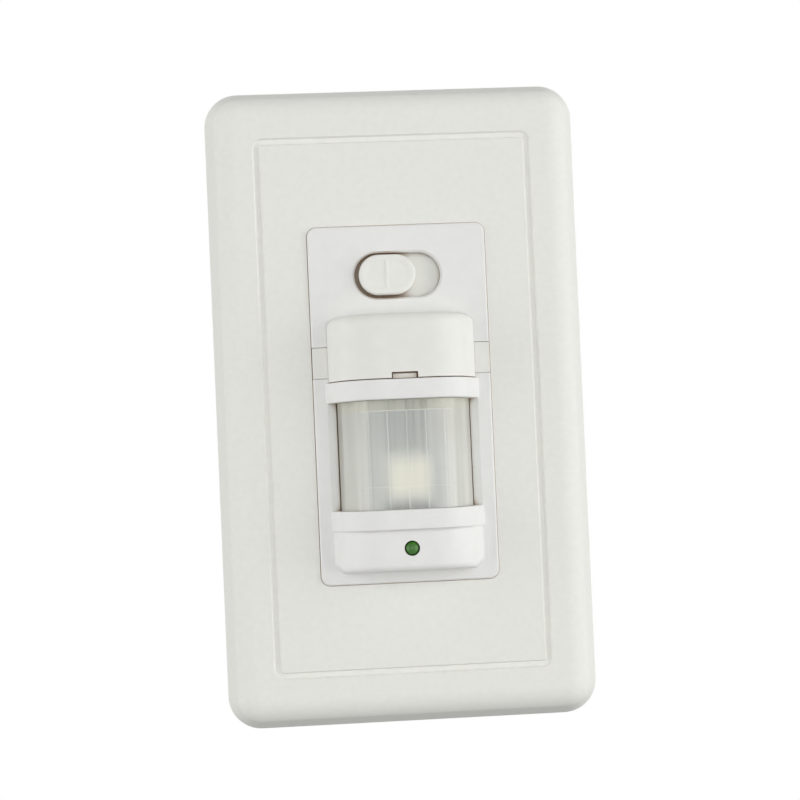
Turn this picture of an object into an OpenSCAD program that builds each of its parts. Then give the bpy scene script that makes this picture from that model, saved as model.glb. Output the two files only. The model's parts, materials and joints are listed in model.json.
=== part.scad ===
// Motion sensor light switch: a sensor and slide switch under a screwless wall plate.
// Every piece is drawn lying on its back, with x to the right, y up the wall and z out of the wall.
// upright() stands it up, so that its front faces -Y and the wall is the plane Y = 0.

/* [Wall plate] */
// Width of the wall plate at the wall
plate_w = 70; // [66:0.5:80]
// Height of the wall plate at the wall
plate_h = 120; // [116:0.5:130]
// How far the front of the plate stands out from the wall
plate_t = 6.5; // [6:0.1:6.8]
// Radius of the plate's four corners
plate_corner_r = 6.3; // [6.1:0.1:9]
// Slope of the side wall, measured along the front
skirt_inset = 1.8; // [1:0.1:2.2]
// Height of the side wall below the rounded shoulder
skirt_h = 4.4; // [3.6:0.1:4.8]
// Distance from the edge to the flat front
shoulder_inset = 5.9; // [5:0.1:6]
// Thickness of the plate's front
plate_skin = 1.8; // [1.2:0.1:2]
// Width of the rim that meets the wall
rim_wall = 3.4; // [3:0.1:3.8]
// Outer width of the framing groove
groove_w = 51.9; // [46:0.1:54]
// Outer height of the framing groove
groove_h = 100.7; // [92:0.1:103]
// Width of the framing groove
groove_width = 1.25; // [0.8:0.05:2]
// Depth of the framing groove
groove_depth = 0.45; // [0.2:0.05:0.8]
// Outer corner radius of the framing groove
groove_r = 1.7; // [1.6:0.1:3]
// Gap between the plate's opening and the bezel
opening_gap = 0.1; // [0.1:0.05:0.4]

/* [Carrier and strap] */
// Thickness of the carrier that the plate clips on
carrier_t = 1.6; // [1.2:0.1:2]
// Gap between the carrier and the plate's rim
carrier_gap = 0.3; // [0.2:0.05:0.5]
// Thickness of the steel mounting strap
strap_t = 1.3; // [1:0.1:1.6]
// Height of the strap over its two ears
strap_h = 104.8; // [103:0.1:108]
// Width of the strap behind the bezel
strap_w = 42; // [41:0.5:46]
// Width of the strap's upper and lower tongues
tongue_w = 30; // [28:0.5:32]
// Distance between the two box screws
box_pitch = 83.34; // [82:0.02:84.5]
// Distance between the two carrier screws
carrier_pitch = 96.84; // [96:0.02:98]
// Radius of the box screws' shanks
box_screw_r = 1.75; // [1.5:0.05:2]
// Length of the box screws behind the wall plane
box_screw_l = 19; // [12:0.5:30]

/* [Bezel] */
// Width of the bezel in the plate's opening
bezel_w = 33.2; // [33:0.1:34]
// Height of the bezel in the plate's opening
bezel_h = 66.7; // [66:0.1:68]
// Corner radius of the bezel
bezel_r = 1.7; // [1.2:0.1:2.4]
// How far the bezel's face stands out from the wall
bezel_front = 7.2; // [7:0.05:7.5]
// Radius of the bezel's front edge
bezel_edge_r = 0.4; // [0.2:0.05:0.8]
// Thickness of the bezel's face
bezel_skin = 1.6; // [1.4:0.05:1.8]
// Thickness of the bezel's side walls
bezel_wall = 1.6; // [1.2:0.1:2]
// Width of the flange at the bezel's back
flange_w = 41; // [39:0.5:42]
// Height of the flange at the bezel's back
flange_h = 71; // [70:0.5:73]
// Thickness of the flange at the bezel's back
flange_t = 1.7; // [1.4:0.1:2]

/* [Sensor dome] */
// Width of the bands at the face
dome_base_w = 28.4; // [27.8:0.1:29]
// Width of the flat front of the bands
dome_flat_w = 8.8; // [7.6:0.1:9.4]
// How far the bands stand out from the face
dome_depth = 9; // [8:0.1:10]
// Radius of the bands' rounded corners
dome_r = 8.9; // [8:0.1:9.2]
// Height of each band
band_h = 3.7; // [3.2:0.1:4]
// Height of the lens window between the bands
window_h = 20.1; // [18:0.1:21]
// Height of the window's upper edge above the plate's centre
window_top = 0.5; // [0.2:0.1:0.6]
// Width of the sloped cheek beside the lens
cheek_w = 1.5; // [0.8:0.1:1.8]
// Depth of the sloped cheek beside the lens
cheek_depth = 0.8; // [0.4:0.1:1.2]
// Height of the lamp housing below the lower band
lamp_box_h = 7.9; // [7:0.1:8.4]
// How far the lamp housing lies behind the bands' front
lamp_box_setback = 1.2; // [0.6:0.1:2]
// How much narrower the lamp housing is than the bands
lamp_box_narrower = 0.8; // [0.4:0.1:1.6]
// Slope of the lamp housing's underside
lamp_box_slope = 0.3; // [0.1:0.1:1]
// Radius of the lamp housing's lower front edge
lamp_box_edge_r = 1.3; // [0.6:0.1:1.8]
// Wall of the lamp housing
lamp_box_wall = 1.6; // [1.2:0.1:2]
// Radius of the indicator lamp
lamp_r = 1.35; // [1:0.05:1.6]
// Height of the indicator lamp above the lamp housing's base
lamp_rise = 4.5; // [4.3:0.1:5]

/* [Lens] */
// Width of the lens at the face
lens_base_w = 24.6; // [23:0.1:25]
// Width of the flat front of the lens
lens_flat_w = 11.6; // [10:0.1:12]
// Radius of the lens's rounded corners
lens_r = 4.15; // [3.6:0.05:4.6]
// Thickness of the lens
lens_t = 0.9; // [0.6:0.05:1.2]
// How far the lens lies behind the bands' front
lens_setback = 1.3; // [1:0.1:2]
// Gap at each side of the lens
lens_gap = 0.6; // [0.4:0.05:0.8]
// How far the lens reaches into each band
lens_tuck = 1.2; // [0.6:0.1:1.6]
// Distance between the lens's upright seams
seam_pitch = 3.5; // [2.4:0.1:3.6]
// Depth of the seams on the lens's inner face
seam_depth = 0.15; // [0.05:0.05:0.3]

/* [Adjustment cover] */
// Height of the cover's upper edge above the plate's centre
cover_top = 16.3; // [15.8:0.1:16.6]
// Gap between the cover and the upper band
cover_gap = 0.25; // [0.2:0.05:0.4]
// How much narrower the cover is than the bands
cover_narrower = 1; // [0.6:0.1:1.6]
// How far the cover lies behind the bands' front
cover_setback = 0.2; // [0:0.05:0.6]
// Wall of the cover
cover_wall = 1.3; // [1:0.1:1.4]
// Radius of the cover's upper corners
cover_r = 1.9; // [0.8:0.1:2.4]
// Height of the cover's side wings
wing_h = 5.95; // [5:0.05:6.2]
// Thickness of the cover's side wings
wing_t = 1.4; // [1:0.1:1.5]
// Width of the fingernail notch
notch_w = 4.8; // [3:0.1:8]
// Height of the fingernail notch
notch_h = 1.3; // [0.8:0.1:2]
// Depth of the hinge axis behind the face
hinge_depth = 2.3; // [2.2:0.05:2.4]
// Height of the hinge axis above the cover's upper edge
hinge_rise = 1.2; // [1.1:0.05:1.3]
// Radius of the hinge pin
hinge_pin_r = 0.6; // [0.5:0.05:0.65]

/* [Slide switch] */
// Height of the slide's centre above the plate's centre
slide_y = 24; // [23.8:0.1:24.6]
// Width of the slot for the knob
slot_w = 16.1; // [15.4:0.1:16.6]
// Height of the slot for the knob
slot_h = 8.4; // [7.8:0.1:8.5]
// Width of the bevel round the slot
slot_bevel = 0.4; // [0.2:0.05:0.6]
// Width of the knob
knob_w = 10.5; // [9:0.1:10.8]
// Height of the knob
knob_h = 7.4; // [6.6:0.1:7.5]
// How far the knob stands out from the face
knob_proud = 1.8; // [1:0.1:2.2]
// Radius of the knob's front edge
knob_edge_r = 0.5; // [0.3:0.1:1]
// Travel of the knob from left to right
knob_travel = 4; // [3:0.1:4.4]

/* [Adjusters] */
// Distance between the three dials
dial_pitch = 8.5; // [7.6:0.1:8.6]
// Height of the dials above the plate's centre
dial_y = 9.2; // [9:0.1:9.4]
// Radius of the dials
dial_r = 2.9; // [2.4:0.1:3]
// Radius of the dials' shafts
dial_shaft_r = 1.2; // [0.8:0.05:1.5]

/* [Rear housing] */
// Width of the rear housing
housing_w = 40; // [39.6:0.2:44]
// Height of the rear housing
housing_h = 57; // [56:0.5:58]
// Depth of the rear housing behind the wall plane
housing_depth = 30; // [28:0.5:36]
// Wall of the rear housing
housing_wall = 1.8; // [1.4:0.1:2.2]
// Radius of the rear housing's edges
housing_r = 3; // [2:0.1:4]
// Thickness of the rear housing's front flange
housing_flange_t = 2.5; // [2.4:0.1:3]
// Radius of the holes for the wire leads
lead_r = 1.8; // [1.4:0.1:2.2]
// Thickness of the circuit boards
board_t = 1.6; // [1:0.1:1.6]

/* [Hidden] */
$fn = 48;

// Overshoot of the cutting solids
over = 1;
// Running gap between pieces that move past each other
run_gap = 0.2;
// Gap between pieces that meet without touching
seat_gap = 0.3;
// Play of a pin in its eye
pin_play = 0.05;
// Play of a screw in a plain hole
screw_play = 0.2;
// Overlap where two forms of one piece join
weld = 0.2;
// Radius and half distance of the leads of small parts
lead_wire_r = 0.3;
lead_wire_x = 1.27;

// Plate
shoulder_run = shoulder_inset - skirt_inset;
shoulder_rise = plate_t - skirt_h;
shoulder_r = (pow(shoulder_run, 2) + pow(shoulder_rise, 2)) / (2 * shoulder_rise);
cavity_w = plate_w - 2 * rim_wall;
cavity_h = plate_h - 2 * rim_wall;
cavity_r = plate_corner_r - rim_wall;
opening_w = bezel_w + 2 * opening_gap;
opening_h = bezel_h + 2 * opening_gap;
opening_r = bezel_r + opening_gap;
catch_w = 8;
catch_reach = 0.8;
catch_t = 0.8;
catch_x = 17;
catch_slit_w = 12;
catch_slit_h = 1.6;
catch_slit_inset = 3;

// Carrier
carrier_z = strap_t;
carrier_top = carrier_z + carrier_t;
catch_top = carrier_z - seat_gap;
carrier_w = cavity_w - 2 * carrier_gap;
carrier_h = cavity_h - 2 * carrier_gap;
carrier_rib = 1;
carrier_window_margin = 3;
carrier_window_inset = 8;
carrier_screw_r = 1.6;
carrier_head_r = 3.1;
carrier_head_h = 1.1;

// Strap
strap_lap = 0.5;
strap_r = 2;
strap_window_w = bezel_w - 2 * bezel_wall;
strap_window_h = 58;
strap_window_r = 1.5;
strap_ear_w = 43;
strap_ear_h = 9;
strap_ear_r = 3;
strap_ear_inset = 1;
tongue_r = 4;
strap_slot_w = 7;
strap_slot_play = 0.5;
box_head_r = 3.4;
box_head_h = 2;
box_head_gap = 0.6;
box_neck_cut = 0.3;
box_neck_l = 0.5;
driver_slot = 0.9;
ground_x = 11;
ground_r = 1.7;
ground_head_r = 2.3;
ground_head_h = 1.8;

// Bezel
face_back = bezel_front - bezel_skin;
bezel_depth = bezel_front - strap_t;
inner_w = bezel_w - 2 * bezel_wall;
inner_h = bezel_h - 2 * bezel_wall;
case_screw_inset_x = 2.6;
case_screw_inset_y = 1.95;
case_screw_at = [bezel_w / 2 - case_screw_inset_x, bezel_h / 2 - case_screw_inset_y];
case_screw_r = 1.2;
case_screw_tip = face_back - 0.9;
case_hole_end = face_back - 0.4;
case_head_r = 2.2;
case_head_h = 1.6;
boss_r = 1.9;

// Dome
upper_band_top = window_top + band_h;
window_bottom = window_top - window_h;
lower_band_bottom = window_bottom - band_h;
lamp_box_bottom = lower_band_bottom - lamp_box_h;
lamp_box_w = dome_base_w - lamp_box_narrower;
lamp_box_depth = dome_depth - lamp_box_setback;
lamp_box_chamfer = 1.5;
lamp_y = lamp_box_bottom + lamp_rise;
lamp_hole_r = lamp_r + 0.1;
lamp_front = bezel_front + lamp_box_depth + 0.5;
lamp_flange_z = bezel_front + lamp_box_depth - lamp_box_wall - seat_gap;
lamp_flange_r = lamp_r + 0.4;
lamp_flange_t = 1;
lamp_foot = lamp_flange_z - lamp_flange_t;
lamp_spacer_r = lamp_flange_r + 0.15;
lamp_hollow_bottom = lamp_y - lamp_spacer_r - seat_gap;

// Lens
lens_depth = dome_depth - lens_setback;
lens_flange_t = 0.8;
lens_seat_gap = 0.1;
lens_back = face_back - lens_seat_gap - lens_flange_t;
lens_flange_lap = 1.5;
lens_clear = 0.15;
seam_w = 0.25;
seam_count = 5;
seam_top_inset = 2;
seam_low_inset = 4.2;
seam_top = window_top - seam_top_inset;
seam_low = window_bottom + seam_low_inset;

// Cover
cover_bottom = upper_band_top + cover_gap;
cover_lift = 0.15;
cover_back = bezel_front + cover_lift;
cover_w = dome_base_w - cover_narrower;
cover_flat_w = dome_flat_w - cover_narrower / 2;
cover_depth = dome_depth - cover_setback - cover_lift;
cover_corner = dome_r - cover_narrower / 4;
wing_bottom = cover_bottom + 0.45;
wing_top = wing_bottom + wing_h;
wing_back = bezel_front - wing_t;
wing_edge_gap = 0.1;
wing_reach = bezel_w / 2 - wing_edge_gap;
wing_root = cover_w / 2 - cover_wall;
wing_rake = 0.3;
wing_gap_low = 0.12;
wing_gap_high = 0.42;
wing_gap_side = 0.3;
notch_depth = 0.9;
hinge_y = cover_top + hinge_rise;
hinge_z = bezel_front - hinge_depth;
arm_x = cover_w / 2 - 3.1;
arm_w = 1.6;
arm_t = 0.9;
arm_drop = 4.3;
arm_foot_z = cover_back + 2.4;
eye_r = 1.05;
arm_slot_low = hinge_y - arm_drop - seat_gap;
arm_slot_high = cover_top - 0.25;
arm_slot_w = arm_w + 0.5;
lug_w = 1.2;
lug_gap = 0.35;
lug_r = 1.1;
pin_reach = arm_x + arm_w / 2 + lug_gap + lug_w;

// Slide
knob_x = -knob_travel / 2;
knob_front = bezel_front + knob_proud;
shutter_lap = 0.7;
shutter_t = 1;
shutter_front = face_back - run_gap;
shutter_back = shutter_front - shutter_t;
shutter_w = slot_w + 2 * shutter_lap + knob_travel;
shutter_h = slot_h + 2 * shutter_lap;
rail_x = 14;
rail_t = 0.8;
hook_t = 0.8;
hook_lap = 0.6;
fork_gap = 0.1;
fork_wall = 1;
fork_h = 0.9;
fork_clear = 0.3;
stem_w = 2;
stem_play = 0.1;
switch_w = 13;
switch_h = 6.4;
switch_wall = 1.2;
slider_w = 4;
slider_h = 3;
slider_t = 1.8;
switch_top = shutter_back - fork_h - fork_clear;
dish_r = 8;
dish_depth = 0.35;
dish_x = 2.75;

// Dials
dial_front = bezel_front + 1.3;
dial_back = face_back - seat_gap;
dial_hole_r = dial_r + 0.4;
dial_slot_w = 0.8;
dial_slot_l = 4.4;
dial_slot_depth = 1;
trimmer_side = 6.6;
trimmer_top = dial_back - 1.4;
trimmer_bore = 1.6;

// Boards
board_front = -housing_flange_t + board_t;
board_back = -housing_flange_t;
board_w = housing_w - 2.4;
board_h = 58.2;
board_r = 1;
board_gap = 0.2;
board_post_r = case_screw_r + screw_play + 0.6;
switch_floor = board_front + switch_wall / 2;
cavity_back = -housing_depth + housing_wall;
power_stand = 1.6;
power_front = cavity_back + power_stand + board_t;
power_w = housing_w - 2 * housing_wall - 1.4;
power_h = 50;
header_pins = 6;
header_pitch = 2.54;
header_pin_w = 0.64;
header_bar_t = 2.5;
header_y = 20;

// Sensor
sensor_rise = 5.9;
sensor_y = window_bottom + sensor_rise;
sensor_r = 4.1;
sensor_flange_r = 4.6;
sensor_flange_t = 0.6;
sensor_front = bezel_front + 1.4;
sensor_h = 4.2;
sensor_base = sensor_front - sensor_h;
sensor_window = [4.6, 3.4];
sensor_window_depth = 0.25;
sensor_lead_ring = 1.8;
holder_r = 5.4;
holder_foot_r = 6.2;
holder_foot_t = 1;
holder_bore = 2.9;
cell_at = [8, window_top - 4.1];
cell_r = 2.5;
cell_t = 2;
cell_back = face_back - 1.8;

// Parts on the power board, each at a place of the front view
relay_at = [-6, 5];
relay_size = [19, 15.5, 15.2];
relay_r = 1;
relay_edge_r = 0.6;
film_at = [9.6, 6];
film_size = [7, 17, 12];
film_r = 0.8;
film_edge_r = 0.5;
can_at = [[-11, -13], [-1.5, -13]];
can_r = 4;
can_h = 12;
can_crimp_z = 1.6;
can_crimp_r = 0.5;
can_crimp_out = 0.2;
varistor_at = [9, -15.5];
varistor_r = 5;
varistor_t = 3.6;
varistor_rise = 1.6;
varistor_lead_x = 2.5;
fuse_at = [7, -22];
fuse_r = 1.8;
fuse_l = 8;
fuse_rise = fuse_r + 0.6;
fuse_lead_out = 1;

// Rear housing
housing_flange_w = housing_w + 4;
housing_flange_h = bezel_h + 1.7;
housing_edge_r = 1.8;
housing_inner_r = 1.6;
power_post_r = 2;
power_post_inset = 3;
lead_pitch = 8;
lead_count = 4;
lead_y = -17;
ground_at = [ground_x, -housing_flange_h / 2 - ground_head_r - seat_gap];

// Distance round the rounded corner of a dome outline at which its straight side starts, as an angle
function dome_tilt(base_w, flat_w, depth, r) =
    let (dx = (base_w - flat_w) / 2, dz = depth - r)
    acos(r / norm([dx, dz])) - atan2(dz, dx);

// Width of a dome outline's base when the outline is drawn in by a wall
function inset_base(base_w, flat_w, depth, r, wall) =
    base_w - 2 * wall / cos(dome_tilt(base_w, flat_w, depth, r));

// Stands a piece up with its front to -Y
module upright() {
    rotate([90, 0, 0]) children();
}

// Extrudes an outline from z0 to z1, out of the wall
module slab(z0, z1) {
    translate([0, 0, z0]) linear_extrude(height = z1 - z0) children();
}

// Extrudes a plan outline, drawn as x and z, upwards from y0 to y1
module along_up(y0, y1) {
    translate([0, y1, 0]) rotate([90, 0, 0]) linear_extrude(height = y1 - y0) children();
}

// Extrudes a side outline, drawn as y and z, to the right from x0 to x1
module along_side(x0, x1) {
    translate([x0, 0, 0]) rotate([90, 0, 90]) linear_extrude(height = x1 - x0) children();
}

// A box between two heights, centred at a point of the front view
module block(at, w, h, z0, z1) {
    translate([at[0], at[1], 0]) slab(z0, z1) square([w, h], center = true);
}

// A round bar between two heights, out of the wall
module post(at, r, z0, z1) {
    translate([at[0], at[1], z0]) cylinder(r = r, h = z1 - z0);
}

// Copies a piece to the four corners of the front view
module at_corners(at) {
    for (sx = [-1, 1], sy = [-1, 1]) translate([sx * at[0], sy * at[1], 0]) children();
}

// Rectangle with round corners
module round_rect(w, h, r) {
    square([w - 2 * r, h], center = true);
    square([w, h - 2 * r], center = true);
    for (sx = [-1, 1], sy = [-1, 1]) translate([sx * (w / 2 - r), sy * (h / 2 - r)]) circle(r = r);
}

// Rectangle with two half-round ends
module stadium(w, h) {
    square([w - h, h], center = true);
    for (s = [-1, 1]) translate([s * (w - h) / 2, 0]) circle(d = h);
}

// Carries an edge profile round a rounded rectangle and fills the middle
module rim_block(w, h, r, t) {
    linear_extrude(height = t) square([w - 2 * r, h - 2 * r], center = true);
    for (k = [0:3]) {
        across = k % 2 == 0 ? w : h;
        along = k % 2 == 0 ? h : w;
        rotate([0, 0, 90 * k]) translate([across / 2 - r, along / 2 - r, 0]) {
            rotate_extrude(angle = 90) children();
            rotate([90, 0, 0]) linear_extrude(height = along - 2 * r) children();
        }
    }
}

// Edge profile with a straight wall and a rounded front edge
module soft_edge(r, t, edge_r) {
    square([r, t - edge_r]);
    square([r - edge_r, t]);
    translate([r - edge_r, t - edge_r]) intersection() {
        circle(r = edge_r);
        square(edge_r);
    }
}

// Plan outline of the sensor dome: flat front, round corners, sloping sides, and a straight root
module dome_outline(base_w, flat_w, depth, r, root = 0) {
    tilt = dome_tilt(base_w, flat_w, depth, r);
    side_x = flat_w / 2 + r * cos(tilt);
    side_z = depth - r + r * sin(tilt);
    polygon([
        [-base_w / 2, -root], [base_w / 2, -root], [base_w / 2, 0], [side_x, side_z],
        [flat_w / 2, depth], [-flat_w / 2, depth], [-side_x, side_z], [-base_w / 2, 0]
    ]);
    intersection() {
        for (s = [-1, 1]) translate([s * flat_w / 2, depth - r]) circle(r = r);
        translate([-base_w / 2, 0]) square([base_w, depth]);
    }
}

// Pan head screw with a driver slot; the head sits on seat_z and the shank runs to tip_z
module pan_screw(at, shank_r, head_r, head_h, seat_z, tip_z) {
    way = sign(seat_z - tip_z);
    head_z = seat_z + way * head_h;
    difference() {
        union() {
            post(at, shank_r, min(seat_z, tip_z), max(seat_z, tip_z));
            post(at, head_r, min(seat_z, head_z), max(seat_z, head_z));
        }
        translate([at[0], at[1], head_z]) cube([3 * head_r, driver_slot, head_h], center = true);
    }
}

// Edge profile of the wall plate: sloping side wall, then a round shoulder into the flat front
module plate_edge() {
    flat_u = plate_corner_r - shoulder_inset;
    polygon([
        [0, 0], [plate_corner_r, 0], [plate_corner_r - skirt_inset, skirt_h],
        [flat_u, plate_t], [0, plate_t]
    ]);
    intersection() {
        translate([flat_u, plate_t - shoulder_r]) circle(r = shoulder_r);
        translate([flat_u, skirt_h]) square([shoulder_run, shoulder_rise]);
    }
}

module groove_ring() {
    difference() {
        round_rect(groove_w, groove_h, groove_r);
        round_rect(groove_w - 2 * groove_width, groove_h - 2 * groove_width, groove_r - groove_width);
    }
}

module wall_plate() {
    color([0.89, 0.89, 0.87]) {
        difference() {
            rim_block(plate_w, plate_h, plate_corner_r, plate_t) plate_edge();
            slab(-over, plate_t - plate_skin) round_rect(cavity_w, cavity_h, cavity_r);
            slab(-over, plate_t + over) round_rect(opening_w, opening_h, opening_r);
            slab(plate_t - groove_depth, plate_t + over) groove_ring();
        }
        // Catches that clip behind the carrier
        for (sx = [-1, 1], sy = [-1, 1])
            block([sx * catch_x, sy * (cavity_h - catch_reach) / 2], catch_w, catch_reach,
                catch_top - catch_t, catch_top);
    }
}

module plate_carrier() {
    hole_w = max(flange_w, opening_w) + 2 * carrier_gap;
    hole_h = max(flange_h, opening_h) + 2 * carrier_gap;
    side_w = (carrier_w - hole_w) / 2;
    window_w = side_w - 2 * carrier_window_margin;
    window_h = hole_h - 2 * carrier_window_inset;
    above = carrier_top + carrier_rib + over;
    color([0.85, 0.85, 0.83]) difference() {
        union() {
            slab(carrier_z, carrier_top) round_rect(carrier_w, carrier_h, cavity_r - carrier_gap);
            slab(carrier_top, carrier_top + carrier_rib) difference() {
                round_rect(hole_w + 2 * carrier_rib, hole_h + 2 * carrier_rib, bezel_r + carrier_rib);
                square([hole_w - over, hole_h - over], center = true);
            }
        }
        slab(carrier_z - over, above) round_rect(hole_w, hole_h, bezel_r);
        for (sx = [-1, 1])
            translate([sx * (hole_w + side_w) / 2, 0, 0])
                slab(carrier_z - over, above) round_rect(window_w, window_h, window_w / 4);
        for (sy = [-1, 1]) {
            post([0, sy * box_pitch / 2], box_head_r + box_head_gap, carrier_z - over, above);
            post([0, sy * carrier_pitch / 2], carrier_screw_r + screw_play, carrier_z - over, above);
            // Slots that let the edge spring at the catches
            for (sx = [-1, 1])
                translate([sx * catch_x, sy * (carrier_h / 2 - catch_slit_inset), 0])
                    slab(carrier_z - over, above) stadium(catch_slit_w, catch_slit_h);
        }
    }
}

module carrier_screws() {
    color([0.75, 0.75, 0.76])
        for (s = [-1, 1])
            pan_screw([0, s * carrier_pitch / 2], carrier_screw_r, carrier_head_r, carrier_head_h,
                carrier_top, 0);
}

module mounting_strap() {
    ear_y = (strap_h - strap_ear_h) / 2 - strap_ear_inset;
    color([0.72, 0.74, 0.75]) difference() {
        slab(0, strap_t) {
            round_rect(strap_w, flange_h + 2 * strap_lap, strap_r);
            round_rect(tongue_w, strap_h, tongue_r);
            for (s = [-1, 1]) translate([0, s * ear_y]) round_rect(strap_ear_w, strap_ear_h, strap_ear_r);
        }
        slab(-over, strap_t + over) round_rect(strap_window_w, strap_window_h, strap_window_r);
        for (s = [-1, 1]) {
            translate([0, s * box_pitch / 2, 0]) slab(-over, strap_t + over)
                stadium(strap_slot_w, 2 * box_screw_r + strap_slot_play);
            post([0, s * carrier_pitch / 2], carrier_screw_r + pin_play, -over, strap_t + over);
        }
        at_corners(case_screw_at) post([0, 0], case_screw_r + screw_play, -over, strap_t + over);
        post(ground_at, ground_r + pin_play, -over, strap_t + over);
    }
}

// Each box screw has a thinner neck where it passes through the strap
module box_screws() {
    color([0.78, 0.78, 0.79])
        for (s = [-1, 1]) {
            at = [0, s * box_pitch / 2];
            pan_screw(at, box_screw_r - box_neck_cut, box_head_r, box_head_h, strap_t, -box_neck_l);
            post(at, box_screw_r, -box_screw_l, -box_neck_l);
        }
}

module ground_screw() {
    color([0.2, 0.5, 0.28]) pan_screw(ground_at, ground_r, ground_head_r, ground_head_h, 0, strap_t);
}

// Slot with a sloped lip that widens towards the front
module bevelled_slot() {
    reach = (slot_w - slot_h) / 2;
    low_r = slot_h / 2;
    high_r = low_r + slot_bevel;
    slab(face_back - over, bezel_front + over) stadium(slot_w, slot_h);
    for (s = [-1, 1])
        translate([s * reach, 0, bezel_front - slot_bevel]) cylinder(r1 = low_r, r2 = high_r, h = slot_bevel);
    along_side(-reach, reach)
        polygon([
            [-low_r, bezel_front - slot_bevel], [low_r, bezel_front - slot_bevel],
            [high_r, bezel_front], [-high_r, bezel_front]
        ]);
}

// Side view of the lamp housing: an underside with a slight slope that rounds into the front
module lamp_box_side() {
    r = lamp_box_edge_r;
    front = bezel_front + lamp_box_depth;
    under = norm([lamp_box_slope, lamp_box_depth]);
    mid_z = front - r;
    mid_y = lamp_box_bottom + (r * under + (lamp_box_depth - r) * lamp_box_slope) / lamp_box_depth;
    polygon([
        [lower_band_bottom, 0], [lamp_box_bottom, 0], [lamp_box_bottom, bezel_front],
        [mid_y - r * lamp_box_depth / under, mid_z + r * lamp_box_slope / under],
        [mid_y, front], [lower_band_bottom, front]
    ]);
    translate([mid_y, mid_z]) circle(r = r);
}

// Lamp housing below the lower band, with a round lower edge and cut lower corners
module lamp_box() {
    half = lamp_box_w / 2;
    intersection() {
        translate([0, 0, bezel_front]) along_up(lamp_box_bottom, lower_band_bottom)
            dome_outline(lamp_box_w, dome_flat_w, lamp_box_depth, dome_r, bezel_skin / 2);
        along_side(-half, half) lamp_box_side();
        slab(0, bezel_front + dome_depth)
            polygon([
                [-half, lower_band_bottom], [-half, lamp_box_bottom + lamp_box_chamfer],
                [-half + lamp_box_chamfer, lamp_box_bottom], [half - lamp_box_chamfer, lamp_box_bottom],
                [half, lamp_box_bottom + lamp_box_chamfer], [half, lower_band_bottom]
            ]);
    }
}

// Space inside the lamp housing, open to the back
module lamp_box_hollow() {
    base_w = inset_base(lamp_box_w, dome_flat_w, lamp_box_depth, dome_r, lamp_box_wall);
    translate([0, 0, bezel_front])
        along_up(lamp_hollow_bottom, lower_band_bottom - lamp_box_wall / 2)
            dome_outline(base_w, dome_flat_w, lamp_box_depth - lamp_box_wall, dome_r - lamp_box_wall,
                bezel_depth);
}

// Space that takes the lens, from behind the face into both bands
module lens_space() {
    translate([0, 0, bezel_front])
        along_up(window_bottom - lens_tuck - lens_clear, window_top + lens_tuck + lens_clear)
            dome_outline(lens_base_w + 2 * lens_gap, lens_flat_w + lens_gap, lens_depth + lens_clear,
                lens_r, bezel_skin + over);
    for (s = [-1, 1])
        along_up(window_bottom, window_top)
            polygon([
                [s * (lens_base_w / 2 + lens_gap - over), bezel_front - cheek_depth],
                [s * (lens_base_w / 2 + lens_gap), bezel_front - cheek_depth],
                [s * (lens_base_w / 2 + lens_gap + cheek_w), bezel_front],
                [s * (lens_base_w / 2 + lens_gap - over), bezel_front]
            ]);
}

// Slot in the face for a hinge arm, undercut so that the arm can swing out
module arm_slot() {
    reach = bezel_skin + over;
    along_side(-arm_slot_w / 2, arm_slot_w / 2) {
        polygon([
            [arm_slot_low, face_back - over], [arm_slot_low, bezel_front + over],
            [arm_slot_high, bezel_front + over], [arm_slot_high, bezel_front],
            [arm_slot_high + reach, face_back - over]
        ]);
        translate([hinge_y, hinge_z]) circle(r = eye_r + run_gap);
    }
}

// Notch in the bezel's side that takes a wing of the cover
module wing_notch() {
    low = wing_bottom - wing_gap_low;
    high = wing_top + wing_gap_high;
    slab(wing_back - wing_gap_side, bezel_front + over)
        translate([wing_root - wing_gap_side, low]) square([bezel_w / 2, high - low]);
}

// Rails and hooks that hold the shutter of the slide behind the face
module shutter_rails() {
    rail_y = shutter_h / 2 + run_gap;
    hook_top = shutter_back - run_gap;
    for (m = [0, 1])
        translate([0, slide_y, 0]) mirror([0, m, 0]) {
            translate([-rail_x / 2, rail_y, hook_top]) cube([rail_x, rail_t, face_back + weld - hook_top]);
            translate([-rail_x / 2, rail_y - hook_lap, hook_top - hook_t])
                cube([rail_x, rail_t + hook_lap, hook_t]);
        }
}

// Lugs behind the face that carry the hinge pin
module hinge_lugs() {
    for (s = [-1, 1], t = [-1, 1])
        translate([s * arm_x + t * (arm_w / 2 + lug_gap + lug_w / 2), 0, 0])
            along_side(-lug_w / 2, lug_w / 2) difference() {
                union() {
                    translate([hinge_y, hinge_z]) circle(r = lug_r);
                    translate([hinge_y - lug_r, hinge_z]) square([2 * lug_r, hinge_depth - bezel_skin / 2]);
                }
                translate([hinge_y, hinge_z]) circle(r = hinge_pin_r + pin_play);
            }
}

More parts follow.
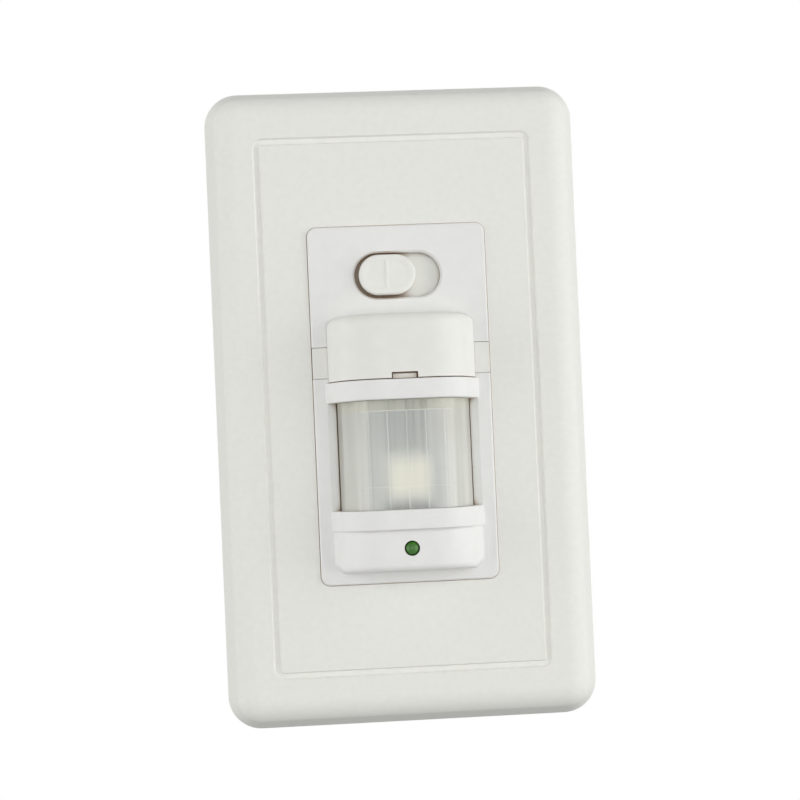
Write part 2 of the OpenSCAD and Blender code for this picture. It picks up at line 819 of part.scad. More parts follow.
module sensor_bezel() {
    color([0.9, 0.9, 0.89]) difference() {
        union() {
            difference() {
                union() {
                    translate([0, 0, strap_t]) rim_block(bezel_w, bezel_h, bezel_r, bezel_depth)
                        soft_edge(bezel_r, bezel_depth, bezel_edge_r);
                    slab(strap_t, strap_t + flange_t) round_rect(flange_w, flange_h, bezel_r);
                }
                slab(strap_t - over, face_back) square([inner_w, inner_h], center = true);
            }
            translate([0, 0, bezel_front])
                for (low = [window_top, lower_band_bottom])
                    along_up(low, low + band_h)
                        dome_outline(dome_base_w, dome_flat_w, dome_depth, dome_r, bezel_skin / 2);
            lamp_box();
            at_corners(case_screw_at) post([0, 0], boss_r, strap_t, face_back + bezel_skin / 2);
            shutter_rails();
            hinge_lugs();
        }
        lens_space();
        lamp_box_hollow();
        post([0, lamp_y], lamp_hole_r, bezel_front, lamp_front + over);
        translate([0, slide_y, 0]) bevelled_slot();
        for (k = [-1:1]) post([k * dial_pitch, dial_y], dial_hole_r, strap_t, bezel_front + over);
        for (s = [-1, 1]) {
            translate([s * arm_x, 0, 0]) arm_slot();
            mirror([s < 0 ? 1 : 0, 0, 0]) wing_notch();
        }
        at_corners(case_screw_at) post([0, 0], case_screw_r + pin_play, strap_t - over, case_hole_end);
        // Room in the flange for the box screws' heads
        for (s = [-1, 1])
            post([0, s * box_pitch / 2], box_head_r + box_head_gap, strap_t - over,
                strap_t + flange_t + over);
    }
}

module fresnel_lens() {
    base_w = inset_base(lens_base_w, lens_flat_w, lens_depth, lens_r, lens_t);
    low = window_bottom - lens_tuck;
    high = window_top + lens_tuck;
    root = bezel_front - lens_back;
    groove_z = bezel_front + lens_depth - lens_t - over + seam_depth;
    color([0.93, 0.94, 0.93, 0.75]) difference() {
        union() {
            translate([0, 0, bezel_front]) along_up(low, high)
                dome_outline(lens_base_w, lens_flat_w, lens_depth, lens_r, root);
            slab(lens_back, lens_back + lens_flange_t)
                translate([-lens_base_w / 2 - lens_flange_lap, low - lens_flange_lap])
                    square([lens_base_w + 2 * lens_flange_lap, high - low + 2 * lens_flange_lap]);
        }
        translate([0, 0, bezel_front]) along_up(low - over, high + over)
            dome_outline(base_w, lens_flat_w, lens_depth - lens_t, lens_r - lens_t, root + over);
        // Seams between the lens's fields
        for (k = [0:seam_count - 1])
            translate([(k - (seam_count - 1) / 2) * seam_pitch - seam_w / 2, seam_low, groove_z])
                cube([seam_w, seam_top - seam_low, over]);
        for (y = [seam_low, seam_top])
            translate([-lens_flat_w / 2, y - seam_w / 2, groove_z]) cube([lens_flat_w, seam_w, over]);
    }
}

module indicator_lamp() {
    color([0.05, 0.35, 0.12]) {
        translate([0, lamp_y, lamp_foot]) rotate_extrude() {
            square([lamp_r, lamp_front - lamp_foot - lamp_r]);
            square([lamp_flange_r, lamp_flange_z - lamp_foot]);
            translate([0, lamp_front - lamp_foot - lamp_r]) intersection() {
                circle(r = lamp_r);
                square(lamp_r);
            }
        }
        for (s = [-1, 1]) post([s * lead_wire_x, lamp_y], lead_wire_r, board_front, lamp_foot);
    }
}

module lamp_spacer() {
    color([0.92, 0.92, 0.9]) difference() {
        post([0, lamp_y], lamp_spacer_r, board_front, lamp_foot);
        for (s = [-1, 1])
            post([s * lead_wire_x, lamp_y], lead_wire_r + pin_play, board_front - over, lamp_foot + over);
    }
}

module pir_sensor() {
    color([0.8, 0.79, 0.72]) translate([0, sensor_y, 0]) {
        difference() {
            union() {
                post([0, 0], sensor_r, sensor_base, sensor_front);
                post([0, 0], sensor_flange_r, sensor_base, sensor_base + sensor_flange_t);
            }
            // Shallow window of the can
            slab(sensor_front - sensor_window_depth, sensor_front + over)
                square(sensor_window, center = true);
        }
        for (a = [0, 90, 180])
            rotate([0, 0, a]) post([sensor_lead_ring, 0], lead_wire_r, board_front, sensor_base);
    }
}

module sensor_holder() {
    color([0.94, 0.93, 0.86]) translate([0, sensor_y, 0]) difference() {
        union() {
            post([0, 0], holder_r, board_front, sensor_base);
            post([0, 0], holder_foot_r, board_front, board_front + holder_foot_t);
        }
        post([0, 0], holder_bore, board_front - over, sensor_base + over);
    }
}

module photocell() {
    color([0.72, 0.4, 0.25]) translate([cell_at[0], cell_at[1], 0]) {
        post([0, 0], cell_r, cell_back, cell_back + cell_t);
        for (s = [-1, 1]) post([0, s * lead_wire_x], lead_wire_r, board_front, cell_back);
    }
}

// Hinge arm: eye behind the face, a drop, and a foot that reaches the cover's upper wall
module hinge_arm() {
    foot_y = hinge_y - arm_drop;
    along_side(-arm_w / 2, arm_w / 2) difference() {
        union() {
            translate([hinge_y, hinge_z]) circle(r = eye_r);
            translate([foot_y, hinge_z - arm_t / 2]) square([arm_drop, arm_t]);
            translate([foot_y, hinge_z - arm_t / 2]) square([arm_t, arm_foot_z - hinge_z]);
            translate([foot_y, arm_foot_z - 2 * arm_t])
                square([cover_top - cover_wall / 2 - foot_y, 1.5 * arm_t]);
        }
        translate([hinge_y, hinge_z]) circle(r = hinge_pin_r + pin_play);
    }
}

// Outside of the cover: dome outline, rounded upper corners, rounded upper front edge
module cover_shell() {
    half = cover_w / 2;
    front = cover_back + cover_depth;
    tall = cover_top - cover_bottom;
    intersection() {
        translate([0, 0, cover_back]) along_up(cover_bottom, cover_top)
            dome_outline(cover_w, cover_flat_w, cover_depth, cover_corner);
        slab(0, front + over) translate([0, cover_bottom]) {
            translate([-half, 0]) square([cover_w, tall - cover_r]);
            translate([cover_r - half, 0]) square([cover_w - 2 * cover_r, tall]);
            for (s = [-1, 1]) translate([s * (half - cover_r), tall - cover_r]) circle(r = cover_r);
        }
        along_side(-half, half) {
            translate([cover_bottom, 0]) square([tall, front - cover_r]);
            translate([cover_bottom, 0]) square([tall - cover_r, front]);
            translate([cover_top - cover_r, front - cover_r]) circle(r = cover_r);
        }
    }
}

module adjust_cover() {
    inner_base = inset_base(cover_w, cover_flat_w, cover_depth, cover_corner, cover_wall);
    front = cover_back + cover_depth;
    color([0.89, 0.89, 0.86]) {
        difference() {
            cover_shell();
            translate([0, 0, cover_back]) along_up(cover_bottom + cover_wall, cover_top - cover_wall)
                dome_outline(inner_base, cover_flat_w, cover_depth - cover_wall, cover_corner - cover_wall,
                    over);
            block([0, cover_bottom], notch_w, 2 * notch_h, front - notch_depth, front + over);
        }
        for (s = [-1, 1]) {
            mirror([s < 0 ? 1 : 0, 0, 0]) {
                // The wing's upper edge leans out over its gap, so the gap is narrow at the face
                along_side(wing_root, wing_reach) polygon([
                    [wing_bottom, wing_back], [wing_top, wing_back],
                    [wing_top + wing_rake, bezel_front], [wing_bottom, bezel_front]
                ]);
                translate([wing_root, wing_bottom, wing_back])
                    cube([cover_wall, wing_h, cover_back + weld - wing_back]);
            }
            translate([s * arm_x, 0, 0]) hinge_arm();
        }
    }
}

module hinge_pin() {
    color([0.75, 0.75, 0.76]) along_side(-pin_reach, pin_reach)
        translate([hinge_y, hinge_z]) circle(r = hinge_pin_r);
}

// Adjuster with a screwdriver slot on a shaft that turns in its trimmer
module dial(at) {
    color([0.35, 0.36, 0.37]) translate([at[0], at[1], 0]) difference() {
        union() {
            post([0, 0], dial_r, dial_back, dial_front);
            post([0, 0], dial_shaft_r, trimmer_top - trimmer_bore + run_gap, dial_back);
        }
        block([0, 0], dial_slot_w, dial_slot_l, dial_front - dial_slot_depth, dial_front + over);
        // Pointer nick in the rim
        translate([0, dial_r, dial_front]) cube([dial_slot_w, dial_slot_w, dial_slot_depth], center = true);
    }
}

module time_dial() {
    dial([-dial_pitch, dial_y]);
}

module range_dial() {
    dial([0, dial_y]);
}

module light_dial() {
    dial([dial_pitch, dial_y]);
}

module trimmer_bodies() {
    color([0.18, 0.32, 0.55])
        for (k = [-1:1])
            difference() {
                block([k * dial_pitch, dial_y], trimmer_side, trimmer_side, board_front, trimmer_top);
                post([k * dial_pitch, dial_y], dial_shaft_r + pin_play, trimmer_top - trimmer_bore,
                    trimmer_top + over);
            }
}

// Cross-section through half of the knob, with a rounded front edge
module knob_edge() {
    soft_edge(knob_h / 2, knob_front - shutter_front, knob_edge_r);
}

module switch_knob() {
    reach = (knob_w - knob_h) / 2;
    dish_z = knob_front - dish_depth + dish_r;
    color([0.88, 0.88, 0.85]) translate([knob_x, slide_y, 0]) {
        difference() {
            translate([0, 0, shutter_front]) {
                for (s = [-1, 1]) translate([s * reach, 0, 0]) rotate_extrude() knob_edge();
                along_side(-reach, reach) for (m = [0, 1]) mirror([m, 0]) knob_edge();
            }
            for (s = [-1, 1]) translate([s * dish_x, 0, dish_z]) sphere(r = dish_r);
        }
        slab(shutter_back, shutter_front) square([shutter_w, shutter_h], center = true);
        // Fork that takes the stem of the slide switch
        for (s = [-1, 1])
            block([s * (stem_w / 2 + fork_gap + fork_wall / 2), 0], fork_wall, slider_h,
                shutter_back - fork_h, shutter_back);
    }
}

module switch_slider() {
    foot_z = switch_floor + stem_play;
    color([0.1, 0.1, 0.11]) {
        block([knob_x, slide_y], slider_w, slider_h, foot_z, foot_z + slider_t);
        block([knob_x, slide_y], stem_w, stem_w, foot_z, shutter_back - stem_play);
    }
}

module slide_switch() {
    room_w = slider_w + knob_travel + 2 * run_gap;
    stem_room = stem_w + knob_travel + 2 * run_gap;
    color([0.76, 0.77, 0.78]) difference() {
        block([0, slide_y], switch_w, switch_h, board_front, switch_top);
        block([0, slide_y], room_w, slider_h + 2 * run_gap, switch_floor, switch_top - switch_wall);
        block([0, slide_y], stem_room, stem_w + 2 * run_gap, switch_floor, switch_top + over);
    }
}

module control_board() {
    color([0.78, 0.79, 0.79]) slab(board_back, board_front) difference() {
        round_rect(board_w, board_h, board_r);
        at_corners(case_screw_at) circle(r = board_post_r + board_gap);
    }
}

// Pin header between the two boards
module board_header() {
    bar_w = header_pins * header_pitch;
    color([0.12, 0.12, 0.12]) {
        block([0, header_y], bar_w, header_pitch, power_front, power_front + header_bar_t);
        block([0, header_y], bar_w, header_pitch, board_back - header_bar_t, board_back);
        for (k = [0:header_pins - 1])
            block([(k - (header_pins - 1) / 2) * header_pitch, header_y], header_pin_w, header_pin_w,
                power_front, board_back);
    }
}

module power_board() {
    color([0.45, 0.36, 0.18]) slab(power_front - board_t, power_front) round_rect(power_w, power_h, board_r);
}

// Boxed part on the power board, with rounded edges
module boxed_part(at, size, r, edge_r) {
    translate([at[0], at[1], power_front])
        rim_block(size[0], size[1], r, size[2]) soft_edge(r, size[2], edge_r);
}

module relay() {
    color([0.12, 0.22, 0.42]) boxed_part(relay_at, relay_size, relay_r, relay_edge_r);
}

module film_capacitor() {
    color([0.62, 0.14, 0.12]) boxed_part(film_at, film_size, film_r, film_edge_r);
}

// Two electrolytic capacitors with a crimped groove near the foot
module round_capacitors() {
    color([0.15, 0.16, 0.2])
        for (at = can_at)
            translate([at[0], at[1], power_front]) difference() {
                cylinder(r = can_r, h = can_h);
                translate([0, 0, can_crimp_z]) rotate_extrude()
                    translate([can_r + can_crimp_out, 0]) circle(r = can_crimp_r);
            }
}

module varistor() {
    color([0.2, 0.35, 0.6]) translate([varistor_at[0], varistor_at[1], 0]) {
        translate([0, 0, power_front + varistor_r + varistor_rise]) rotate([90, 0, 0])
            cylinder(r = varistor_r, h = varistor_t, center = true);
        for (s = [-1, 1])
            post([s * varistor_lead_x, 0], lead_wire_r, power_front, power_front + varistor_r);
    }
}

module fuse_resistor() {
    lead_x = fuse_l / 2 + fuse_lead_out;
    color([0.55, 0.62, 0.55]) translate([fuse_at[0], fuse_at[1], power_front]) {
        translate([0, 0, fuse_rise]) rotate([0, 90, 0]) {
            cylinder(r = fuse_r, h = fuse_l, center = true);
            cylinder(r = lead_wire_r, h = 2 * lead_x, center = true);
        }
        for (s = [-1, 1]) post([s * lead_x, 0], lead_wire_r, 0, fuse_rise);
    }
}

module rear_housing() {
    body_depth = housing_depth - housing_flange_t;
    cavity_w = housing_w - 2 * housing_wall;
    cavity_h = housing_h - 2 * housing_wall;
    post_at = [power_w / 2 - power_post_inset, power_h / 2 - power_post_inset];
    color([0.3, 0.31, 0.32]) difference() {
        union() {
            slab(-housing_flange_t, 0) round_rect(housing_flange_w, housing_flange_h, housing_r);
            translate([0, 0, -housing_flange_t]) mirror([0, 0, 1])
                rim_block(housing_w, housing_h, housing_r, body_depth)
                    soft_edge(housing_r, body_depth, housing_edge_r);
        }
        difference() {
            slab(cavity_back, over) round_rect(cavity_w, cavity_h, housing_inner_r);
            // Posts that carry the power board
            at_corners(post_at) post([0, 0], power_post_r, cavity_back - over, cavity_back + power_stand);
        }
        // Seat for the control board
        slab(board_back, over) difference() {
            round_rect(board_w + 2 * board_gap, board_h + 2 * board_gap, board_r);
            at_corners(case_screw_at) circle(r = board_post_r);
        }
        // Room for the parts on the front of the control board
        slab(board_front, over) round_rect(strap_window_w, strap_window_h, strap_window_r);
        at_corners(case_screw_at) post([0, 0], case_screw_r + screw_play, -housing_flange_t - over, over);
        for (k = [0:lead_count - 1])
            post([(k - (lead_count - 1) / 2) * lead_pitch, lead_y], lead_r, -housing_depth - over,
                cavity_back + over);
    }
}

module housing_screws() {
    color([0.78, 0.78, 0.79])
        at_corners(case_screw_at)
            pan_screw([0, 0], case_screw_r, case_head_r, case_head_h, -housing_flange_t, case_screw_tip);
}

upright() wall_plate();
upright() plate_carrier();
upright() carrier_screws();
upright() mounting_strap();
upright() box_screws();
upright() ground_screw();
upright() sensor_bezel();
upright() fresnel_lens();
upright() indicator_lamp();
upright() lamp_spacer();
upright() pir_sensor();
upright() sensor_holder();
upright() photocell();
upright() adjust_cover();
upright() hinge_pin();
upright() time_dial();
upright() range_dial();
upright() light_dial();
upright() trimmer_bodies();
upright() switch_knob();
upright() switch_slider();
upright() slide_switch();
upright() control_board();
upright() board_header();
upright() power_board();
upright() relay();
upright() film_capacitor();
upright() round_capacitors();
upright() varistor();
upright() fuse_resistor();
upright() rear_housing();
upright() housing_screws();
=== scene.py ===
import json
import math
from functools import partial

import bmesh
import bpy
import numpy as np
from mathutils import Matrix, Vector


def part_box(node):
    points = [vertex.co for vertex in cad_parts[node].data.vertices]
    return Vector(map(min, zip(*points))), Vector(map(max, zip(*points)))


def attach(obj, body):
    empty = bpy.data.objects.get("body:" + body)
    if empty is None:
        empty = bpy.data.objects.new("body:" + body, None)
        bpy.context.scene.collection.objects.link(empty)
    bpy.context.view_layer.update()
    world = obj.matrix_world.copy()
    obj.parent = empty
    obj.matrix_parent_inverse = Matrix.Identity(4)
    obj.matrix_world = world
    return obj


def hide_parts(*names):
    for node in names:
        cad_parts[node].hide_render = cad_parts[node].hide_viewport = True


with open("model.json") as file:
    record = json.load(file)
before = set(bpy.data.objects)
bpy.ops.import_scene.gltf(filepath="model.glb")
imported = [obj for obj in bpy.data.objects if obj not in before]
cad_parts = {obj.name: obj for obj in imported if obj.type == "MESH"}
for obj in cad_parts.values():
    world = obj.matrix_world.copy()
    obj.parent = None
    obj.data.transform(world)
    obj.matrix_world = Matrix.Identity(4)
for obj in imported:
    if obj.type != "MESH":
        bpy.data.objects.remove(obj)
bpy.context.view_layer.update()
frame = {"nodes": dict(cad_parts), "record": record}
mm = 0.001
tiny = 1e-6
hair = 0.003  # half the width of an upright step in a height field, in millimetres
sharpAngle = 35.0  # edges above this angle, in degrees, are drawn sharp
faceOut = 7.2  # the bezel's face, in millimetres out of the wall
print("stage: frame loaded")


# Drawn millimetres (right, up, out of the wall) as metres of the frame.
def toFrame(points):
    return np.stack([points[..., 0], -points[..., 2], points[..., 1]], axis=-1) * mm


# A node's box in drawn millimetres: (left, low, back) and (right, high, front).
def drawnBox(node):
    low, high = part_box(node)
    return np.array([low.x, low.z, -high.y]) / mm, np.array([high.x, high.z, -low.y]) / mm


# Linear colour of an sRGB colour given in steps of 0 to 255.
def linear(red, green, blue):
    share = np.array([red, green, blue]) / 255
    return (*np.where(share > 0.04045, ((share + 0.055) / 1.055) ** 2.4, share / 12.92), 1.0)


# Quads of an index grid, row by row; either direction may close on itself.
def gridQuads(index, closeRows=False, closeColumns=False):
    if closeRows:
        index = np.concatenate([index, index[:1]], axis=0)
    if closeColumns:
        index = np.concatenate([index, index[:, :1]], axis=1)
    corners = [index[:-1, :-1], index[:-1, 1:], index[1:, 1:], index[1:, :-1]]
    return np.stack(corners, axis=-1).reshape(-1, 4)


# A grid of points as a shell (points, quads) that closes round its columns.
def ringShell(points, closeRows=False):
    rows, columns = points.shape[:2]
    return points.reshape(-1, 3), gridQuads(np.arange(rows * columns).reshape(rows, columns), closeRows, True)


# One piece from closed shells of quads: seams and poles welded, faces turned outwards, edges sharp above an
# angle.
def buildPiece(name, shells, material=None, sharp=sharpAngle):
    start = np.cumsum([0] + [len(points) for points, quads in shells])
    points = toFrame(np.concatenate([points for points, quads in shells]))
    quads = np.concatenate([shell[1] + first for shell, first in zip(shells, start)])
    mesh = bpy.data.meshes.new(name)
    mesh.vertices.add(len(points))
    mesh.vertices.foreach_set("co", points.astype(np.float32).ravel())
    mesh.loops.add(quads.size)
    mesh.loops.foreach_set("vertex_index", quads.astype(np.int32).ravel())
    mesh.polygons.add(len(quads))
    mesh.polygons.foreach_set("loop_start", np.arange(0, quads.size, 4, dtype=np.int32))
    mesh.update(calc_edges=True)
    obj = bpy.data.objects.new(name, mesh)
    bpy.context.scene.collection.objects.link(obj)
    finishMesh(obj, sharp)
    if material:
        mesh.materials.append(material)
    return obj


# Welds a piece's doubled points, turns its faces outwards and sets its sharp edges.
def finishMesh(obj, sharp):
    work = bmesh.new()
    work.from_mesh(obj.data)
    bmesh.ops.remove_doubles(work, verts=work.verts, dist=tiny)
    bmesh.ops.dissolve_degenerate(work, edges=work.edges, dist=tiny / 2)
    bmesh.ops.recalc_face_normals(work, faces=work.faces)
    work.to_mesh(obj.data)
    work.free()
    obj.data.polygons.foreach_set("use_smooth", np.ones(len(obj.data.polygons), dtype=bool))
    obj.data.set_sharp_from_angle(angle=math.radians(sharp))


# Cuts closed cutters out of a piece and keeps the result as its mesh.
def carve(obj, cutters):
    for cutter in cutters:
        cut = obj.modifiers.new("cut", "BOOLEAN")
        cut.object = cutter
        cut.operation = "DIFFERENCE"
        cut.solver = "EXACT"
    graph = bpy.context.evaluated_depsgraph_get()
    carved = bpy.data.meshes.new_from_object(obj.evaluated_get(graph), depsgraph=graph)
    obj.modifiers.clear()
    obj.data = carved
    for cutter in cutters:
        bpy.data.objects.remove(cutter)
    finishMesh(obj, sharpAngle)


# Columns round a rounded rectangle: each lies on a corner's arc or on the straight line between two arcs.
def ringColumns(arcSteps, endSteps, sideSteps):
    corners = [(1, 1), (-1, 1), (-1, -1), (1, -1)]
    columns = []
    for k, (right, up) in enumerate(corners):
        start, end = 90.0 * k, 90.0 * (k + 1)
        steps = sideSteps if k % 2 else endSteps
        onward = corners[(k + 1) % 4]
        columns += [(right, up, right, up, angle, 0.0) for angle in np.linspace(start, end, arcSteps + 1)]
        columns += [(right, up, *onward, end, share) for share in np.arange(1, steps) / steps]
    return np.array(columns).T


# Points on stations (half width, low, high, low corner radius, high corner radius, out): corner centre plus
# radius times the arc's direction, blended along the straight lines.
def ringPoints(stations, columns, shift=0.0):
    half, low, high, lowR, highR, out = (stations[:, k, None] for k in range(6))
    right, up, nextRight, nextUp, angle, share = (column[None, :] for column in columns)
    turn = np.radians(angle)

    def corner(toRight, toUp):
        radius = np.where(toUp > 0, highR, lowR)
        across = toRight * (half - radius) + radius * np.cos(turn)
        return across, np.where(toUp > 0, high - radius, low + radius) + radius * np.sin(turn)

    (x0, y0), (x1, y1) = corner(right, up), corner(nextRight, nextUp)
    across, along = x0 + (x1 - x0) * share, y0 + (y1 - y0) * share
    return np.stack([across + shift, along, out + 0 * across], axis=-1)


# Stations of one rounded rectangle (half width, half height, radius) grown by offsets, each at its own out.
def grown(base, offset, out):
    offset, out = np.broadcast_arrays(np.atleast_1d(offset).astype(float), np.atleast_1d(out).astype(float))
    half, tall, radius = (base[k] + offset for k in range(3))
    radius = np.maximum(radius, 0)
    return np.stack([half, -tall, tall, radius, radius, out], axis=-1)


# The middle line of a station, which closes a flat end.
def endLine(station):
    half, low, high = station[:3]
    inset = min(half, (high - low) / 2)
    return np.array([[half - inset, low + inset, high - inset, 0, 0, station[5]]])


# A slab with rounded corners and rounded edges, from back to front, closed at both ends.
def slabShell(half, low, high, radius, back, front, edge=0.1, shift=0.0, steps=3, columns=None):
    turn = np.linspace(0, np.pi / 2, steps + 1)
    inset = np.concatenate([edge - edge * np.sin(turn), edge - edge * np.cos(turn)])
    out = np.concatenate([back + edge - edge * np.cos(turn), front - edge + edge * np.sin(turn)])
    corner = np.maximum(radius - inset, 0)
    rows = np.stack([half - inset, low + inset, high - inset, corner, corner, out], axis=-1)
    rows = np.concatenate([endLine(rows[0]), rows, endLine(rows[-1])])
    return ringShell(ringPoints(rows, ringColumns(4, 2, 2) if columns is None else columns, shift))


# A body of revolution: profile points (radius, along) turned about an axis along "x" or "z" through a centre.
def latheShell(profile, centre, axis, steps=48, closed=False):
    radius, along = (np.asarray(profile, dtype=float)[:, k, None] for k in range(2))
    turn = np.linspace(0, 2 * np.pi, steps, endpoint=False)[None, :]
    first, second, third = radius * np.cos(turn), radius * np.sin(turn), along + 0 * turn
    order = [third, first, second] if axis == "x" else [first, second, third]
    return ringShell(np.stack(order, axis=-1) + np.asarray(centre, dtype=float), closed)


# A solid rod between two places along its axis.
def rodShell(radius, start, end, centre, axis, steps):
    return latheShell([(0, start), (radius, start), (radius, end), (0, end)], centre, axis, steps)


# A prism: section points (up, out) carried across from one end to the other, closed by a fan at each end.
def prismShell(section, start, end):
    section = np.asarray(section, dtype=float)
    middle = section.mean(axis=0) + 0 * section
    rows = [np.insert(row, 0, across, axis=1) for row, across in
            ((middle, start), (section, start), (section, end), (middle, end))]
    return ringShell(np.stack(rows))


# Smooth step from 0 at low to 1 at high.
def ease(low, high, value):
    share = np.clip((value - low) / (high - low), 0, 1)
    return share * share * (3 - 2 * share)


# The greater (or lesser) of two heights, blended over a width where they meet.
def softMax(first, second, width):
    near = np.maximum(width - np.abs(first - second), 0) / width
    return np.maximum(first, second) + near * near * width / 4


def softMin(first, second, width):
    return -softMax(-first, -second, width)


# Tilt of a dome's straight side, which touches the arc and meets the base at its half width.
def sideTilt(base, flat, depth, radius):
    reach = math.hypot(base - flat, depth - radius)
    return math.acos(radius / reach) - math.atan2(depth - radius, base - flat)


# Height of a dome's outline over its base: flat middle, an arc of the radius, then the straight side, which
# goes on below the base.
def domeHeight(side, base, flat, depth, radius):
    tilt = sideTilt(base, flat, depth, radius)
    touchX, touchZ = flat + radius * math.cos(tilt), depth - radius + radius * math.sin(tilt)
    arc = depth - radius + np.sqrt(np.maximum(radius**2 - np.clip(side - flat, 0, radius) ** 2, 0))
    return np.where(side < touchX, arc, touchZ - (side - touchX) / math.tan(tilt))


# How far a rounded edge has fallen at a distance from it.
def edgeDrop(distance, radius):
    inside = np.clip(radius - distance, 0, radius)
    return radius - np.sqrt(radius**2 - inside**2)


def bothSides(values):
    values = np.asarray(values, dtype=float)
    return np.concatenate([-values, values])


# Grid lines from runs of values, sorted, without doubles.
def gridLines(*runs):
    return np.unique(np.round(np.concatenate([np.atleast_1d(run) for run in runs]), 4))


# Walls round the cells left out of a grid with a front and a back: a quad for each edge between kept and
# left out.
def maskWalls(keep, front, back):
    def wall(start, end):
        return np.stack([front[start], front[end], back[end], back[start]], axis=-1)

    row, column = np.argwhere(keep[:, 1:] != keep[:, :-1]).T + [[0], [1]]
    upright = wall((row, column), (row + 1, column))
    row, column = np.argwhere(keep[1:, :] != keep[:-1, :]).T + [[1], [0]]
    return np.concatenate([upright, wall((row, column), (row, column + 1))])


# Indices round a grid's border, anticlockwise.
def borderOf(index):
    return np.concatenate([index[0, :-1], index[:-1, -1], index[-1, :0:-1], index[:0:-1, 0]])


# An outer and an inner sheet, two grids of the same shape, joined along their borders.
def sheetPair(outer, inner):
    count = outer.shape[0] * outer.shape[1]
    index = np.arange(count).reshape(outer.shape[:2])
    border = borderOf(index)
    strip = gridQuads(np.stack([border, border + count]), closeColumns=True)
    quads = [gridQuads(index), gridQuads(index + count)[:, ::-1], strip[:, ::-1]]
    return np.concatenate([outer.reshape(-1, 3), inner.reshape(-1, 3)]), np.concatenate(quads)


print("stage: materials")


# Fills a node's inputs: another node's output is linked, a plain value is set.
def feed(node, values):
    for key, value in values.items():
        if isinstance(value, bpy.types.NodeSocket):
            node.id_data.links.new(value, node.inputs[key])
        else:
            node.inputs[key].default_value = value


# A new shader node with its settings and inputs.
def addNode(tree, kind, inputs, **settings):
    node = tree.nodes.new("ShaderNode" + kind)
    for key, value in settings.items():
        setattr(node, key, value)
    feed(node, inputs)
    return node


# A material with its tree, its shader and the object coordinates.
def startMaterial(name):
    material = bpy.data.materials.new(name)
    material.use_nodes = True
    tree = material.node_tree
    return material, tree, tree.nodes["Principled BSDF"], addNode(tree, "TexCoord", {}).outputs["Object"]


def noiseNode(tree, place, scale, detail=3.0, stretch=None):
    if stretch:
        place = addNode(tree, "Mapping", {"Scale": stretch, "Vector": place}).outputs["Vector"]
    return addNode(tree, "TexNoise", {"Scale": scale, "Detail": detail, "Vector": place}).outputs["Fac"]


def rampNode(tree, factor, shade, other, low=0.3, high=0.7):
    ramp = addNode(tree, "ValToRGB", {"Fac": factor})
    first, second = ramp.color_ramp.elements
    first.position = low
    second.position = high
    first.color = linear(*shade)
    second.color = linear(*other)
    return ramp.outputs["Color"]


def rangeNode(tree, value, low, high):
    ends = {"From Min": 0.3, "From Max": 0.7, "To Min": low, "To Max": high}
    return addNode(tree, "MapRange", {"Value": value, **ends}).outputs["Result"]


def bumpNode(tree, height, strength, distance):
    inputs = {"Height": height, "Strength": strength, "Distance": distance}
    return addNode(tree, "Bump", inputs).outputs["Normal"]


# A sum on one or more values.
def mathNode(tree, operation, *values):
    return addNode(tree, "Math", dict(enumerate(values)), operation=operation).outputs["Value"]


# A soft step of a value from 0 at low to 1 at high (or from 1 to 0 when low lies above high).
def stepNode(tree, value, low, high):
    ends = {"From Min": min(low, high), "From Max": max(low, high)}
    ends.update({"To Min": float(low > high), "To Max": float(low < high), "Value": value})
    return addNode(tree, "MapRange", ends, interpolation_type="SMOOTHSTEP").outputs["Result"]


# A value drawn towards another where a mask is 1.
def blendNode(tree, base, value, mask):
    return mathNode(tree, "MULTIPLY_ADD", mask, mathNode(tree, "SUBTRACT", value, base), base)


# 1 between two places, with soft ends.
def bandNode(tree, value, low, high, soft):
    rise = stepNode(tree, value, low - soft, low + soft)
    return mathNode(tree, "MULTIPLY", rise, stepNode(tree, value, high + soft, high - soft))


# A colour drawn towards another where a mask is 1.
def tintNode(tree, base, shade, mask):
    return addNode(tree, "Mix", {"Factor": mask, 6: base, 7: linear(*shade)}, data_type="RGBA").outputs[2]


# Moulded plastic: two near shades in soft clouds, roughness that varies a little and a fine grain; where a
# painted shade is given, an ambient-occlusion mask paints tight gaps darker and brown, a painted shade.
def plastic(name, shade, other, rough, cloud=420.0, grain=5200.0, bump=0.07, paintedShade=None, sheen=0.3):
    material, tree, shader, place = startMaterial(name)
    cloudy = noiseNode(tree, place, cloud)
    colour = rampNode(tree, cloudy, shade, other)
    if paintedShade:
        # painted shade: ambient occlusion draws the colour towards dark brown in tight gaps
        close = addNode(tree, "AmbientOcclusion", {"Distance": paintedShade["reach"]}, samples=6)
        mask = stepNode(tree, close.outputs["AO"], paintedShade["start"], paintedShade["full"])
        colour = tintNode(tree, colour, paintedShade["shade"], mask)
    feed(shader, {
        "Base Color": colour,
        "Roughness": rangeNode(tree, cloudy, rough - 0.04, rough + 0.04),
        "Normal": bumpNode(tree, noiseNode(tree, place, grain, 2.0), bump, 2e-5),
        "IOR": 1.46,
        "Specular IOR Level": sheen,
    })
    return material


# Metal with fine scratches drawn out along one direction.
def metal(name, shade, other, rough, stretch=(1.0, 1.0, 14.0)):
    material, tree, shader, place = startMaterial(name)
    drawn = noiseNode(tree, place, 900.0, 4.0, stretch)
    feed(shader, {
        "Base Color": rampNode(tree, drawn, shade, other),
        "Roughness": rangeNode(tree, drawn, rough - 0.08, rough + 0.08),
        "Normal": bumpNode(tree, drawn, 0.08, 2e-5),
        "Metallic": 1.0,
    })
    return material


# Circuit board: straight tracks under the mask, from square cells.
def board(name, shade, track, rough):
    material, tree, shader, place = startMaterial(name)
    cells = addNode(tree, "TexVoronoi", {"Scale": 260.0, "Vector": place}, distance="CHEBYCHEV", feature="F1")
    tracks = cells.outputs["Distance"]
    feed(shader, {
        "Base Color": rampNode(tree, tracks, shade, track, 0.42, 0.5),
        "Roughness": rangeNode(tree, noiseNode(tree, place, 700.0), rough, rough + 0.1),
        "Normal": bumpNode(tree, tracks, 0.1, 3e-5),
    })
    return material
